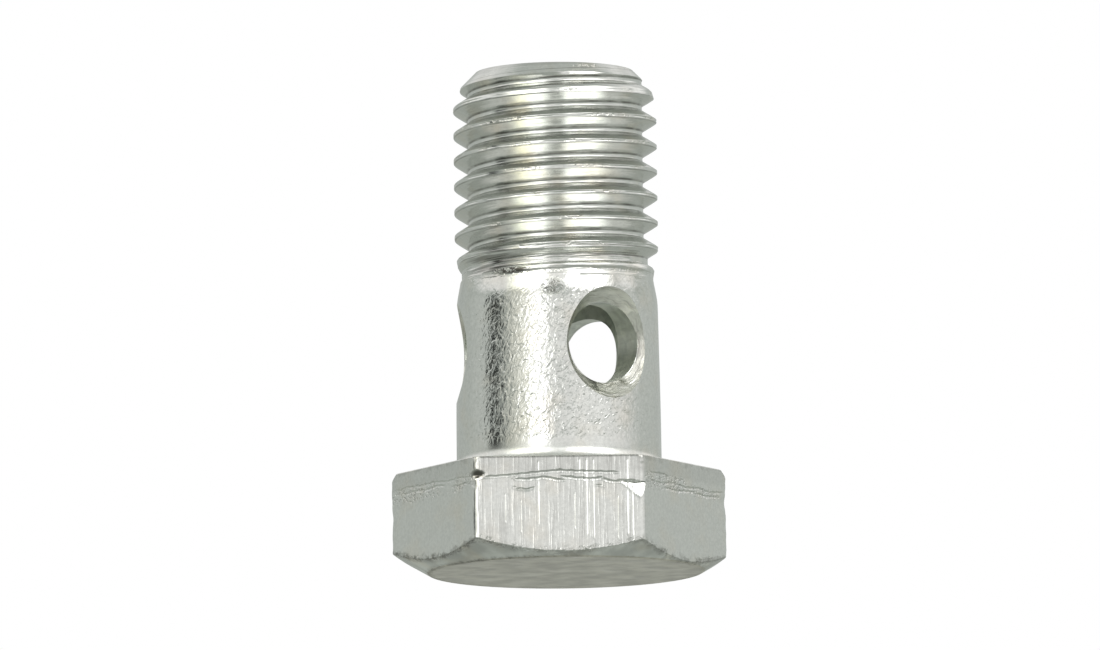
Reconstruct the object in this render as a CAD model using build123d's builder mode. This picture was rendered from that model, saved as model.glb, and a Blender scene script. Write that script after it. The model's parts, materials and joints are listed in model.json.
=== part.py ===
"""A banjo bolt: a hollow hexagon bolt that clamps a banjo fitting and feeds fluid through its own shank.

One piece of steel, in millimetres. The origin is the centre of the head's outer end face, which
the bolt stands on, and +Z runs along the axis to the tip of the thread.
"""

import os
from math import atan, ceil, cos, degrees, radians, sin, tan

from build123d import *

# Hexagon head
ACROSS_FLATS = 16.9  # takes a 17 mm spanner
HEAD_HEIGHT = 5.85
END_FACE_RADIUS = 8.0  # the circle where the 30 degree chamfer meets the end face
END_CHAMFER_ANGLE = 30
CORNER_BREAK = 0.3  # the corners on the bearing side lose this much of their radius
CORNER_BREAK_HEIGHT = 0.45
UNDERHEAD_ROOT = 0.25  # a small cone in the corner between the shank and the bearing face

# Plain shank, which carries the eye of the banjo fitting
SHANK_RADIUS = 5.96
SHANK_STRAIGHT_TOP = 8.6  # straight up to here, then a slight taper
SHANK_TOP = 15.8
SHANK_TOP_RADIUS = 5.85
NECK_RADIUS = 5.6  # the thread starts from here

# Thread, M12 x 1.5 right hand
PITCH = 1.5
CREST_RADIUS = 5.925
ROOT_RADIUS = 5.08
CREST_FLAT = PITCH / 8
FLANK_ANGLE = 30  # half the thread's angle
NECK_HEIGHT = 17.1
THREAD_START = 18.9  # first full thread, and the middle of the groove where it passes over -X
RUNOUT_TURNS = 1.5  # below there the groove climbs out of the steel along a tapered helix
RUNOUT_RISE = 0.3  # its radius grows by this for each millimetre of height

# Tip
LENGTH = 29.34
TIP_RADIUS = 4.6
TIP_CHAMFER_RADIUS = 5.6  # a 45 degree chamfer up to this radius, then a slimmer lead
LEAD_BOTTOM = 27.3

# Fluid way
BORE_RADIUS = 3.7
BORE_FLOOR = 9.5  # where the straight wall ends
DRILL_POINT_ANGLE = 118
DRILL_FLAT_RADIUS = 0.3

# Three cross holes, evenly spaced, broken into the bore
PORT_RADIUS = 2.35
PORT_SINK_RADIUS = 3.28
PORT_SINK_ANGLE = 90
PORT_HEIGHT = 12.9
PORT_COUNT = 3
FIRST_PORT_ANGLE = -58  # from +X towards +Y

CLEAR = 1.0  # how far a cutting tool reaches past the surface it cuts
GROOVE_PROUD = 0.06  # and the thread's own tool, whose turns must not meet each other
RUNOUT_LAP = 10  # degrees by which the full groove laps the run-out, so that no web is left
RUNOUT_STEP = 0.01  # the run-out starts this much shallower, clear of the full groove's walls

corner_radius = ACROSS_FLATS / 2 / cos(radians(30))
chamfer_top = (corner_radius - END_FACE_RADIUS) * tan(radians(END_CHAMFER_ANGLE))
tip_chamfer_bottom = LENGTH - (TIP_CHAMFER_RADIUS - TIP_RADIUS)
drill_point = (BORE_RADIUS - DRILL_FLAT_RADIUS) / tan(radians(DRILL_POINT_ANGLE / 2))

# The V groove
flank_slope = tan(radians(FLANK_ANGLE))
groove_depth = CREST_RADIUS - ROOT_RADIUS + GROOVE_PROUD
root_half = (PITCH - CREST_FLAT) / 2 - (CREST_RADIUS - ROOT_RADIUS) * flank_slope
mouth_half = root_half + groove_depth * flank_slope
groove_turns = ceil((LENGTH + PITCH / 2 - THREAD_START) / PITCH)
groove_start = THREAD_START - PITCH * RUNOUT_LAP / 360
runout_height = RUNOUT_TURNS * PITCH
runout_start = THREAD_START - runout_height
runout_radius = ROOT_RADIUS + RUNOUT_STEP + RUNOUT_RISE * runout_height
runout_angle = atan(RUNOUT_RISE)


def groove_corners(radius, height):
    """The groove's V in the XZ plane, with the middle of its bottom at this radius and height."""
    return (
        (radius, height - root_half),
        (radius + groove_depth, height - mouth_half),
        (radius + groove_depth, height + mouth_half),
        (radius, height + root_half),
    )


with BuildPart() as full_groove:
    with BuildLine() as full_path:
        Helix(PITCH, groove_turns * PITCH, ROOT_RADIUS, center=(0, 0, groove_start))
    with BuildSketch(Plane.XZ) as full_section:
        with BuildLine():
            Polyline(*groove_corners(ROOT_RADIUS, groove_start), close=True)
        make_face()
    sweep(path=full_path.wire(), is_frenet=True)

with BuildPart() as runout_groove:
    with BuildLine() as runout_path:
        # A tapered helix counts its pitch along the cone.
        Helix(
            PITCH / cos(runout_angle),
            runout_height,
            runout_radius,
            center=(0, 0, runout_start),
            cone_angle=-degrees(runout_angle),
        )
    with BuildSketch(Plane.XZ) as runout_section:
        with BuildLine():
            Polyline(*groove_corners(runout_radius, runout_start), close=True)
        make_face()
    sweep(path=runout_path.wire(), is_frenet=True)

with BuildPart() as banjo_bolt:
    # The head: a hexagon, trimmed by a turned outline that gives its chamfer and broken corners.
    with BuildSketch() as hexagon:
        RegularPolygon(ACROSS_FLATS / 2, 6, major_radius=False)
    extrude(amount=HEAD_HEIGHT)
    with BuildSketch(Plane.XZ) as head_outline:
        with BuildLine():
            Polyline(
                (0, 0),
                (END_FACE_RADIUS, 0),
                (corner_radius, chamfer_top),
                (corner_radius, HEAD_HEIGHT - CORNER_BREAK_HEIGHT),
                (corner_radius - CORNER_BREAK, HEAD_HEIGHT),
                (0, HEAD_HEIGHT),
                close=True,
            )
        make_face()
    revolve(axis=Axis.Z, mode=Mode.INTERSECT)

    # The stem as turned, before it is threaded.
    with BuildSketch(Plane.XZ) as stem_outline:
        with BuildLine():
            Polyline(
                (0, HEAD_HEIGHT),
                (SHANK_RADIUS + UNDERHEAD_ROOT, HEAD_HEIGHT),
                (SHANK_RADIUS, HEAD_HEIGHT + UNDERHEAD_ROOT),
                (SHANK_RADIUS, SHANK_STRAIGHT_TOP),
                (SHANK_TOP_RADIUS, SHANK_TOP),
                (NECK_RADIUS, NECK_HEIGHT),
                (CREST_RADIUS, THREAD_START),
                (CREST_RADIUS, LEAD_BOTTOM),
                (TIP_CHAMFER_RADIUS, tip_chamfer_bottom),
                (TIP_RADIUS, LENGTH),
                (0, LENGTH),
                close=True,
            )
        make_face()
    revolve(axis=Axis.Z)
    add(full_groove.part, rotation=(0, 0, 180 - RUNOUT_LAP), mode=Mode.SUBTRACT)
    add(runout_groove.part, mode=Mode.SUBTRACT)

    # The fluid way, drilled from the tip.
    with BuildSketch(Plane.XZ) as bore_outline:
        with BuildLine():
            Polyline(
                (0, BORE_FLOOR - drill_point),
                (DRILL_FLAT_RADIUS, BORE_FLOOR - drill_point),
                (BORE_RADIUS, BORE_FLOOR),
                (BORE_RADIUS, LENGTH + CLEAR),
                (0, LENGTH + CLEAR),
                close=True,
            )
        make_face()
    revolve(axis=Axis.Z, mode=Mode.SUBTRACT)

    # The cross holes, each countersunk from outside.
    for number in range(PORT_COUNT):
        angle = radians(FIRST_PORT_ANGLE + number * 360 / PORT_COUNT)
        outward = Vector(cos(angle), sin(angle), 0)
        with Locations(Plane(outward * SHANK_RADIUS + Vector(0, 0, PORT_HEIGHT), z_dir=outward)):
            CounterSinkHole(PORT_RADIUS, PORT_SINK_RADIUS, SHANK_RADIUS, PORT_SINK_ANGLE)

banjo_bolt.part.label = "banjo_bolt"
os.makedirs("parts", exist_ok=True)
export_step(banjo_bolt.part, "parts/banjo_bolt.step")
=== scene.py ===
# %% [markdown]
# # A banjo bolt in zinc-plated steel
#
# A banjo bolt is one piece of steel: a hexagon head, a plain shank, a thread, a bore from the tip
# and three cross holes that let fluid out of the bore. Its size and place come from the packed
# model, so the lesson starts by loading that frame. Everything is modelled in millimetres, which
# suits a part this small, and turned into metres once, when the mesh is finished.

import json
import math

import bmesh
import bpy
import numpy as np
from mathutils import Matrix, Vector


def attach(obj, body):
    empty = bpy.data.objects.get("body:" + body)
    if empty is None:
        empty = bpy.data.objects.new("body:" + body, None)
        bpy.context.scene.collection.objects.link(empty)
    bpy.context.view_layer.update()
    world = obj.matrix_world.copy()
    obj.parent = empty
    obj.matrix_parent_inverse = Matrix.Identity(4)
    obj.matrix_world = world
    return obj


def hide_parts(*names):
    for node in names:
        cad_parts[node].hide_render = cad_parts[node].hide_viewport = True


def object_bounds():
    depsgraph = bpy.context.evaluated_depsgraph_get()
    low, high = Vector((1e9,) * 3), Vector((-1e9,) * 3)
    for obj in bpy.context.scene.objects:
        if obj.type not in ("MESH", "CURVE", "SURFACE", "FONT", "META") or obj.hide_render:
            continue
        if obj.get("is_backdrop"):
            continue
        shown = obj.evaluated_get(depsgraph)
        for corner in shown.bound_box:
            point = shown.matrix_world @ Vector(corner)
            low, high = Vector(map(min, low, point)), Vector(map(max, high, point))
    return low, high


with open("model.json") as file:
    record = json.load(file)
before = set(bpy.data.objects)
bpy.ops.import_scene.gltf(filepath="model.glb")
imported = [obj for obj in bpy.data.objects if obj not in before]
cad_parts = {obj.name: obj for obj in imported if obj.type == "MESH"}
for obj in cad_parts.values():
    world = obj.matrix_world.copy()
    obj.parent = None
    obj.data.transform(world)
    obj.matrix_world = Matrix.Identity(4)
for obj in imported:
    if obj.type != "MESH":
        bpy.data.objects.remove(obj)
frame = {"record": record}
cad_low, cad_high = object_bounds()
MM = 0.001
mounts = {mount["name"]: mount for mount in frame["record"]["mounts"]}

# %% Sizes from the frame, in millimetres
LENGTH = cad_high.z / MM
ACROSS_FLATS = (cad_high.y - cad_low.y) / MM
HEAD_HEIGHT = mounts["bearing_face"]["pos_m"][2] / MM
SHANK_RADIUS = mounts["shank"]["dims"]["r_mm"]
CREST_RADIUS = mounts["thread"]["dims"]["r_mm"]
BORE_RADIUS = mounts["fluid_bore"]["dims"]["r_mm"]
BORE_FLOOR = LENGTH - mounts["fluid_bore"]["dims"]["length_mm"]
ports = [mounts[name] for name in sorted(mounts) if name.startswith("port_")]
PORT_RADIUS = ports[0]["dims"]["r_mm"]
PORT_HEIGHT = ports[0]["pos_m"][2] / MM
FIRST_PORT_ANGLE = math.atan2(ports[0]["axis"][1], ports[0]["axis"][0])
print(f"length {LENGTH:.2f}, across flats {ACROSS_FLATS:.2f}, head height {HEAD_HEIGHT:.2f}")
print(f"{len(ports)} cross holes of {2 * PORT_RADIUS:.2f}, {PORT_HEIGHT:.2f} above the head's end")

# %% [markdown]
# ## Building node trees
#
# Geometry and shader trees here are formulas, and a formula reads best as calls. This helper adds
# one node per call and takes plain numbers and other nodes' outputs alike, so `graph.add(a, 2)` is
# one Math node. The same helper serves both kinds of tree. It is built up in three cells: nodes
# and arithmetic, then vectors and colours, then the soft shapes that masks are made of. A last
# function starts a group, whose sockets have names, so that its sizes can be set from outside.


# %% Nodes and arithmetic
class Sums:
    """Adds nodes to one tree. A value is a number, a tuple or another node's output."""

    def __init__(self, tree):
        self.tree = tree

    def feed(self, socket, value):
        if isinstance(value, bpy.types.NodeSocket):
            self.tree.links.new(value, socket)
        else:
            socket.default_value = value

    def node(self, kind, inputs=None, **settings):
        made = self.tree.nodes.new(kind)
        for name, value in settings.items():
            setattr(made, name, value)
        for name, value in (inputs or {}).items():
            self.feed(made.inputs[name], value)
        return made

    def math(self, operation, *values):
        made = self.tree.nodes.new("ShaderNodeMath")
        made.operation = operation
        for socket, value in zip(made.inputs, values):
            self.feed(socket, value)
        return made.outputs[0]

    def add(self, *values):
        total = values[0]
        for value in values[1:]:
            total = self.math("ADD", total, value)
        return total

    def mul(self, *values):
        product = values[0]
        for value in values[1:]:
            product = self.math("MULTIPLY", product, value)
        return product

    def sub(self, a, b):
        return self.math("SUBTRACT", a, b)

    def div(self, a, b):
        return self.math("DIVIDE", a, b)

    def size(self, a):
        return self.math("ABSOLUTE", a)

    def least(self, a, b):
        return self.math("MINIMUM", a, b)

    def most(self, a, b):
        return self.math("MAXIMUM", a, b)

    def hypotenuse(self, a, b):
        return self.math("SQRT", self.add(self.mul(a, a), self.mul(b, b)))


print("sums:", ", ".join(name for name in vars(Sums) if not name.startswith("_")))


# %% Vectors, colours and groups
class Vectors(Sums):
    """Takes vectors apart and puts them together, blends colours and places groups."""

    def join(self, x, y, z):
        return self.node("ShaderNodeCombineXYZ", {"X": x, "Y": y, "Z": z}).outputs[0]

    def split(self, vector):
        return self.node("ShaderNodeSeparateXYZ", {"Vector": vector}).outputs

    def vector(self, operation, a, b):
        """SUBTRACT, MULTIPLY or DIVIDE two vectors, part by part."""
        return self.node("ShaderNodeVectorMath", {0: a, 1: b}, operation=operation).outputs[0]

    def scaled(self, vector, factor):
        return self.node("ShaderNodeVectorMath", {0: vector, 3: factor}, operation="SCALE").outputs[0]

    def length(self, vector):
        return self.node("ShaderNodeVectorMath", {0: vector}, operation="LENGTH").outputs["Value"]

    def blend_colour(self, factor, a, b):
        made = self.node("ShaderNodeMix", {"Factor": factor}, data_type="RGBA")
        colours = [socket for socket in made.inputs if socket.type == "RGBA"]
        self.feed(colours[0], a)
        self.feed(colours[1], b)
        return [socket for socket in made.outputs if socket.type == "RGBA"][0]

    def group(self, tree, values=None):
        """Places a shader group with these values, and gives its outputs."""
        return self.node("ShaderNodeGroup", values, node_tree=tree).outputs


print("vectors:", ", ".join(name for name in vars(Vectors) if not name.startswith("_")))


# %% Soft shapes and noise
class Graph(Vectors):
    """The whole helper, with the soft shapes that masks and outlines are made of."""

    def line(self, x, x0, y0, slope):
        """The height at x of the straight line through (x0, y0)."""
        return self.math("MULTIPLY_ADD", self.sub(x, x0), slope, y0)

    def tent(self, x, half_width):
        """1 where x is 0, falling to 0 at half_width on either side."""
        return self.most(self.sub(1.0, self.div(self.size(x), half_width)), 0.0)

    def step(self, x, low, high, start=0.0, end=1.0):
        """A soft step from start to end as x goes from low to high."""
        made = self.node(
            "ShaderNodeMapRange",
            {"Value": x, "From Min": low, "From Max": high, "To Min": start, "To Max": end},
            interpolation_type="SMOOTHSTEP",
        )
        return made.outputs["Result"]

    def window(self, x, low, high, soft):
        """1 between low and high and 0 outside, with soft ends."""
        opened = self.step(x, low - soft, low + soft)
        closed = self.step(x, high - soft, high + soft, 1.0, 0.0)
        return self.mul(opened, closed)

    def blend(self, factor, a, b):
        return self.node("ShaderNodeMix", {"Factor": factor, "A": a, "B": b}, data_type="FLOAT").outputs[0]

    def noise(self, vector, scale, detail=0.0, distortion=0.0):
        made = self.node(
            "ShaderNodeTexNoise",
            {"Vector": vector, "Scale": scale, "Detail": detail, "Distortion": distortion},
        )
        return made.outputs["Fac"]


print("soft shapes:", ", ".join(name for name in vars(Graph) if not name.startswith("_")))


# %% A group with named sockets
def group_with(kind, name, inputs, outputs):
    """An empty node group with these inputs, as (name, socket type, default), and outputs."""
    tree = bpy.data.node_groups.new(name, kind)
    for label, socket_type, default in inputs:
        socket = tree.interface.new_socket(label, in_out="INPUT", socket_type=socket_type)
        if default is not None:
            socket.default_value = default
    for label, socket_type in outputs:
        tree.interface.new_socket(label, in_out="OUTPUT", socket_type=socket_type)
    source = tree.nodes.new("NodeGroupInput")
    sink = tree.nodes.new("NodeGroupOutput")
    return Graph(tree), source.outputs, sink.inputs


print("groups so far", len(bpy.data.node_groups))

# %% [markdown]
# ## The stem: shank and thread
#
# The thread is a groove that climbs by one pitch a turn. A flat grid can be rolled up so that its
# rows climb with the groove: every point of a row then lies at the same place across the groove,
# and the thread's edges run along rows instead of cutting through them. Geometry Nodes suit this,
# because the whole stem is one formula for the radius: the smaller of the turned outline and the
# groove. The rows are crowded where the surface bends, at the root, at the crest and in the flare
# under the head, and spread out along the plain shank, where nothing happens. Where the thread runs
# out, the rolls that pressed it taper off, so the groove's floor climbs out of the steel and widens.
# A rolled thread has one more mark: the two sides of each crest never quite close, and leave a fine
# seam along it.

# %% Sizes of the stem, in millimetres and degrees
PITCH = 1.5
ROOT_RADIUS = 5.08
CREST_FLAT = PITCH / 8
FLANK_ANGLE = 32  # a rolled and plated thread ends up a little more open than the drawing's 30
THREAD_START = 18.9  # the lowest full groove, where it passes over -X
RUNOUT_RISE = 0.3  # below there its floor climbs by this for each millimetre of height
RUNOUT_SPREAD = 0.12  # and grows wider by this on either side
NECK_HEIGHT, NECK_RADIUS = 17.1, 5.6
SHANK_STRAIGHT_TOP, SHANK_TOP, SHANK_TOP_RADIUS = 8.6, 15.8, 5.85
LEAD_BOTTOM, TIP_CHAMFER_RADIUS, TIP_RADIUS = 27.3, 5.6, 4.6
UNDERHEAD_RADIUS = 0.9  # the shank flares into the head
ROOT_ROUND = 0.16  # radius of the groove's two lower corners
CREST_EASE = 0.045  # how softly the flanks turn into the crest
FLANK_BARREL = 0.02  # rolled flanks are a touch fuller in the middle
SEAM_DEPTH, SEAM_HALF_WIDTH = 0.03, 0.05

flank_tan = math.tan(math.radians(FLANK_ANGLE))
flank_cos = math.cos(math.radians(FLANK_ANGLE))
root_half = (PITCH - CREST_FLAT) / 2 - (CREST_RADIUS - ROOT_RADIUS) * flank_tan
root_flat_half = root_half - ROOT_ROUND * math.tan(math.radians((90 - FLANK_ANGLE) / 2))
print(f"the groove's floor is {2 * root_half:.3f} wide, of which {2 * max(root_flat_half, 0):.3f} is flat")

# %% How the rows of the grid are spread
STEM_BOTTOM = 5.3  # inside the head
COLUMNS = 184
TURNS_BELOW, TURNS_ABOVE = 7, 8  # turns of rows below and above the lowest full groove
ROW_PLACES = (0, 0.035, 0.07, 0.105, 0.15, 0.26, 0.37, 0.41, 0.4375, 0.46, 0.48, 0.5)  # root to crest
ROWS_A_TURN = 2 * (len(ROW_PLACES) - 1)
SPREAD_TOP = 15.4  # below here the rows are spread along the shank
SPREAD = 3.2  # times as far apart
SPREAD_PITCHES = 1.75
CROWD_TOP, CROWD = 7.0, 0.5  # and below here they are crowded, for the flare into the head
print("rows a turn", ROWS_A_TURN, "columns", COLUMNS)


# %% A curve that moves the rows
def row_curve(graph, share):
    """Moves evenly spaced rows to their places across the groove, the same on both sides of the crest."""
    node = graph.node("ShaderNodeFloatCurve", {"Value": share})
    points = node.mapping.curves[0].points
    steps = [(i / ROWS_A_TURN, place) for i, place in enumerate(ROW_PLACES)]
    for x, y in steps[1:] + [(1 - x, 1 - y) for x, y in reversed(steps[1:-1])]:
        points.new(x, y)
    for point in points:
        point.handle_type = "VECTOR"
    node.mapping.update()
    return node.outputs[0]


print("rows from root to crest, as shares of the pitch", ROW_PLACES)


# %% The groove as a formula
def groove_radius(graph, given, across, height):
    """Distance from the axis to the groove: a rounded floor, climbing at the run-out, and two flanks."""
    below = graph.most(graph.sub(THREAD_START, graph.sub(height, across)), 0.0)
    floor = graph.add(given["Root Radius"], graph.mul(below, RUNOUT_RISE))
    flat_half = graph.add(max(root_flat_half, 0), graph.mul(below, RUNOUT_SPREAD))
    beside = graph.most(graph.sub(graph.size(across), flat_half), 0.0)
    on_round = graph.least(beside, graph.mul(given["Root Round"], flank_cos))
    square = graph.sub(graph.mul(given["Root Round"], given["Root Round"]), graph.mul(on_round, on_round))
    sag = graph.sub(given["Root Round"], graph.math("SQRT", square))
    flank = graph.div(graph.sub(beside, on_round), flank_tan)
    climbed = graph.least(graph.div(flank, CREST_RADIUS - ROOT_RADIUS), 1.0)
    barrel = graph.mul(climbed, graph.sub(1.0, climbed), 4 * FLANK_BARREL)
    return graph.add(floor, sag, flank, barrel)


runout_height = (CREST_RADIUS - ROOT_RADIUS) / RUNOUT_RISE
print(f"the groove is {CREST_RADIUS - ROOT_RADIUS:.3f} deep and runs out over {runout_height:.2f} of height")


# %% The turned outline as a formula
FLARE_LIMIT = 0.97  # the flare's quarter round stops just short of level


def slope(x0, y0, x1, y1):
    return (y1 - y0) / (x1 - x0)


def turned_radius(graph, given, height):
    """Distance from the axis to the stem as it was before threading."""
    taper = slope(SHANK_STRAIGHT_TOP, SHANK_RADIUS, SHANK_TOP, SHANK_TOP_RADIUS)
    fall = slope(SHANK_TOP, SHANK_TOP_RADIUS, NECK_HEIGHT, NECK_RADIUS)
    rise = slope(NECK_HEIGHT, NECK_RADIUS, THREAD_START, CREST_RADIUS)
    lead_top = LENGTH - (TIP_CHAMFER_RADIUS - TIP_RADIUS)
    lead = slope(LEAD_BOTTOM, CREST_RADIUS, lead_top, TIP_CHAMFER_RADIUS)
    plain = given["Shank Radius"]
    for x0, y0, gradient, ease in (
        (SHANK_STRAIGHT_TOP, SHANK_RADIUS, taper, 0.05),
        (SHANK_TOP, SHANK_TOP_RADIUS, fall, 0.12),
    ):
        plain = graph.math("SMOOTH_MIN", plain, graph.line(height, x0, y0, gradient), ease)
    threaded = given["Crest Radius"]
    for x0, y0, gradient, ease in (
        (NECK_HEIGHT, NECK_RADIUS, rise, 0.05),
        (LEAD_BOTTOM, CREST_RADIUS, lead, 0.08),
        (lead_top, TIP_CHAMFER_RADIUS, -1.0, 0.12),
    ):
        threaded = graph.math("SMOOTH_MIN", threaded, graph.line(height, x0, y0, gradient), ease)
    outline = graph.math("SMOOTH_MAX", plain, threaded, 0.06)

    # The flare into the head is a quarter round.
    up = graph.most(graph.sub(HEAD_HEIGHT + UNDERHEAD_RADIUS, height), 0.0)
    up = graph.least(up, UNDERHEAD_RADIUS * FLARE_LIMIT)
    reach = graph.math("SQRT", graph.sub(UNDERHEAD_RADIUS**2, graph.mul(up, up)))
    return graph.add(outline, graph.sub(UNDERHEAD_RADIUS, reach))


print(f"the flare starts {HEAD_HEIGHT + UNDERHEAD_RADIUS:.2f} up, the taper {SHANK_STRAIGHT_TOP:.2f} up")


# %% The seam along the crest as a formula
def seam_depth(graph, given, across, angle, height):
    """How deep the seam along the crest is here. It comes and goes along the thread."""
    from_crest = graph.sub(PITCH / 2, graph.size(across))
    place = graph.join(graph.math("COSINE", angle), graph.math("SINE", angle), graph.mul(height, 0.6))
    open_here = graph.step(graph.noise(place, 3.0, 2.0), 0.42, 0.6)
    groove = graph.tent(from_crest, SEAM_HALF_WIDTH)
    return graph.mul(groove, open_here, given["Seam Depth"])


print(f"the seam is {2 * SEAM_HALF_WIDTH:.2f} wide and up to {SEAM_DEPTH:.2f} deep")


# %% Where each point of the grid lies
def row_height(graph, given, turn, share, around):
    """How high a point is: rows climb by a pitch a turn, are spread below and crowded in the flare."""
    climbed = graph.mul(graph.add(turn, share, around), PITCH)
    evenly = graph.add(climbed, THREAD_START - PITCH / 2 - TURNS_BELOW * PITCH)
    down = graph.least(graph.most(graph.sub(SPREAD_TOP, evenly), 0.0), SPREAD_PITCHES * PITCH)
    height = graph.sub(evenly, graph.mul(down, SPREAD - 1))
    into_flare = graph.most(graph.sub(CROWD_TOP, height), 0.0)
    height = graph.add(height, graph.mul(into_flare, 1 - CROWD))
    return graph.least(graph.most(height, STEM_BOTTOM), given["Length"])


def stem_radius(graph, given, across, angle, height):
    """The smaller of the turned outline and the groove, less the seam on the thread."""
    groove = groove_radius(graph, given, across, height)
    radius = graph.math("SMOOTH_MIN", turned_radius(graph, given, height), groove, given["Crest Ease"])
    on_thread = graph.window(height, THREAD_START - 0.5, LEAD_BOTTOM + 0.3, 0.5)
    seam = seam_depth(graph, given, across, angle, height)
    return graph.sub(radius, graph.mul(seam, on_thread))


print("the rows are spread below", SPREAD_TOP, "and crowded below", CROWD_TOP)


# %% The stem's tree
def stem_tree():
    """Rolls a grid into the stem. Heights and radii are in millimetres."""
    graph, given, result = group_with(
        "GeometryNodeTree",
        "stem",
        [
            ("Length", "NodeSocketFloat", LENGTH),
            ("Crest Radius", "NodeSocketFloat", CREST_RADIUS),
            ("Root Radius", "NodeSocketFloat", ROOT_RADIUS),
            ("Shank Radius", "NodeSocketFloat", SHANK_RADIUS),
            ("Root Round", "NodeSocketFloat", ROOT_ROUND),
            ("Crest Ease", "NodeSocketFloat", CREST_EASE),
            ("Seam Depth", "NodeSocketFloat", SEAM_DEPTH),
            ("Columns", "NodeSocketInt", COLUMNS),
            ("Material", "NodeSocketMaterial", None),
        ],
        [("Geometry", "NodeSocketGeometry")],
    )
    rows = ROWS_A_TURN * (TURNS_BELOW + TURNS_ABOVE)
    points_across = graph.add(given["Columns"], 1)
    grid = graph.node(
        "GeometryNodeMeshGrid",
        {"Size X": 1.0, "Size Y": 1.0, "Vertices X": points_across, "Vertices Y": rows + 1},
    )
    place = graph.split(graph.node("GeometryNodeInputPosition").outputs[0])
    around = graph.add(place["X"], 0.5)
    angle = graph.mul(around, 2 * math.pi)
    row = graph.math("ROUND", graph.mul(graph.add(place["Y"], 0.5), rows))

    # Where the row lies across the thread: 0 in the middle of a groove, half a pitch on the crest.
    turn = graph.math("FLOOR", graph.div(row, ROWS_A_TURN))
    share = row_curve(graph, graph.sub(graph.div(row, ROWS_A_TURN), turn))
    across = graph.mul(graph.sub(share, graph.math("ROUND", share)), PITCH)
    height = row_height(graph, given, turn, share, around)

    # The first and last rows close the ends: they shrink to a point on the axis.
    inner = graph.math("COMPARE", row, rows / 2, rows / 2 - 0.5)
    radius = graph.mul(stem_radius(graph, given, across, angle, height), inner)
    rolled = graph.node(
        "GeometryNodeSetPosition",
        {
            "Geometry": grid.outputs["Mesh"],
            "Position": graph.join(
                graph.mul(radius, graph.math("COSINE", angle)),
                graph.mul(radius, graph.math("SINE", angle)),
                height,
            ),
        },
    )
    welded = graph.node("GeometryNodeMergeByDistance", {"Geometry": rolled.outputs[0], "Distance": 0.0005})
    real = graph.node("GeometryNodeRealizeInstances", {"Geometry": welded.outputs[0]})
    painted = graph.node(
        "GeometryNodeSetMaterial", {"Geometry": real.outputs[0], "Material": given["Material"]}
    )
    graph.feed(result["Geometry"], painted.outputs[0])
    return graph.tree


stem_group = stem_tree()
print("inputs", [item.name for item in stem_group.interface.items_tree if item.in_out == "INPUT"])


# %% Turn the tree into a plain mesh
def object_of(mesh, name):
    made = bpy.data.objects.new(name, mesh)
    bpy.context.scene.collection.objects.link(made)
    return made


def mesh_of(source):
    """The object's mesh with its modifiers applied, as a new mesh."""
    depsgraph = bpy.context.evaluated_depsgraph_get()
    return bpy.data.meshes.new_from_object(source.evaluated_get(depsgraph))


def run_tree(tree, name, values):
    """What a geometry tree makes with these values for its inputs, as a plain object."""
    holder = object_of(bpy.data.meshes.new(name), name)
    modifier = holder.modifiers.new(name, "NODES")
    modifier.node_group = tree
    for item in tree.interface.items_tree:
        if item.in_out == "INPUT" and item.name in values:
            modifier[item.identifier] = values[item.name]
    plain = mesh_of(holder)
    holder.modifiers.clear()
    holder.data = plain
    return holder


plating = bpy.data.materials.new("plating_before_zones")
stem = run_tree(stem_group, "stem", {"Length": LENGTH, "Columns": COLUMNS, "Material": plating})
print("stem", len(stem.data.vertices), "points", len(stem.data.polygons), "faces")

# %% [markdown]
# ## The head
#
# A cold-formed hexagon has a turned chamfer round its outer end, corners that are rounded off on
# the bearing side, and vertical edges that are never quite sharp. All of it can be told in polar
# form: how far out the surface is, in each direction and at each height, is the smallest of the
# flats, the chamfer's cone and the cone of the rounded corners. The rows of the mesh follow the
# curved line where the chamfer meets the flats, so that line stays crisp. On the bearing face one
# ring of points lies just outside the flare, which keeps the shading of the face level up to it.

# %% The head's outline by direction
HEAD_SHIFT_X = -0.05  # the hexagon sits a hair off the shank's axis
END_FACE_RADIUS, END_CHAMFER_ANGLE = 8.0, 30
END_CHAMFER_SHIFT_X = 0.36  # the chamfer was turned a little off the hexagon's middle
EDGE_EASE, EDGE_WEAR = 0.27, 0.24  # how soft the vertical edges are, and how much that varies
CORNER_BREAK, CORNER_BREAK_HEIGHT = 0.33, 0.48  # how far in and down the corners are rounded off
FRONT_SHARPER = 0.75  # share of it that the corners towards -Y were spared
CORNER_BREAK_EASE = 0.09
CREASE_EASE = 0.07  # how softly the chamfer turns into the flats
TOP_ROUND = 0.07  # radius of the edge round the bearing face
flat_distance = ACROSS_FLATS / 2
corner_radius = flat_distance / math.cos(math.radians(30))
chamfer_slope = math.tan(math.radians(END_CHAMFER_ANGLE))


def smooth_min(a, b, ease):
    """The smaller of a and b, rounded where they cross."""
    h = np.clip(ease - np.abs(a - b), 0, None) / ease
    return np.minimum(a, b) - h * h * ease / 4


def flat_reach(angle, ease):
    """How far out the hexagon is in this direction, with eased corners."""
    to_corner = (angle + np.pi / 6) % (np.pi / 3) - np.pi / 6
    one = flat_distance / np.cos(np.pi / 6 - to_corner)
    other = flat_distance / np.cos(np.pi / 6 + to_corner)
    return smooth_min(one, other, ease)


def chamfer_reach(angle, height):
    return END_FACE_RADIUS + END_CHAMFER_SHIFT_X * np.cos(angle) + height / chamfer_slope


def break_reach(angle, height):
    down = HEAD_HEIGHT - CORNER_BREAK_HEIGHT
    amount = CORNER_BREAK * (1 - FRONT_SHARPER * np.clip(-np.sin(angle), 0, 1))
    return corner_radius + amount * (down - height) / CORNER_BREAK_HEIGHT


print(f"the corners are {corner_radius:.2f} out; the chamfer ends {END_FACE_RADIUS:.2f} out")

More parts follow.
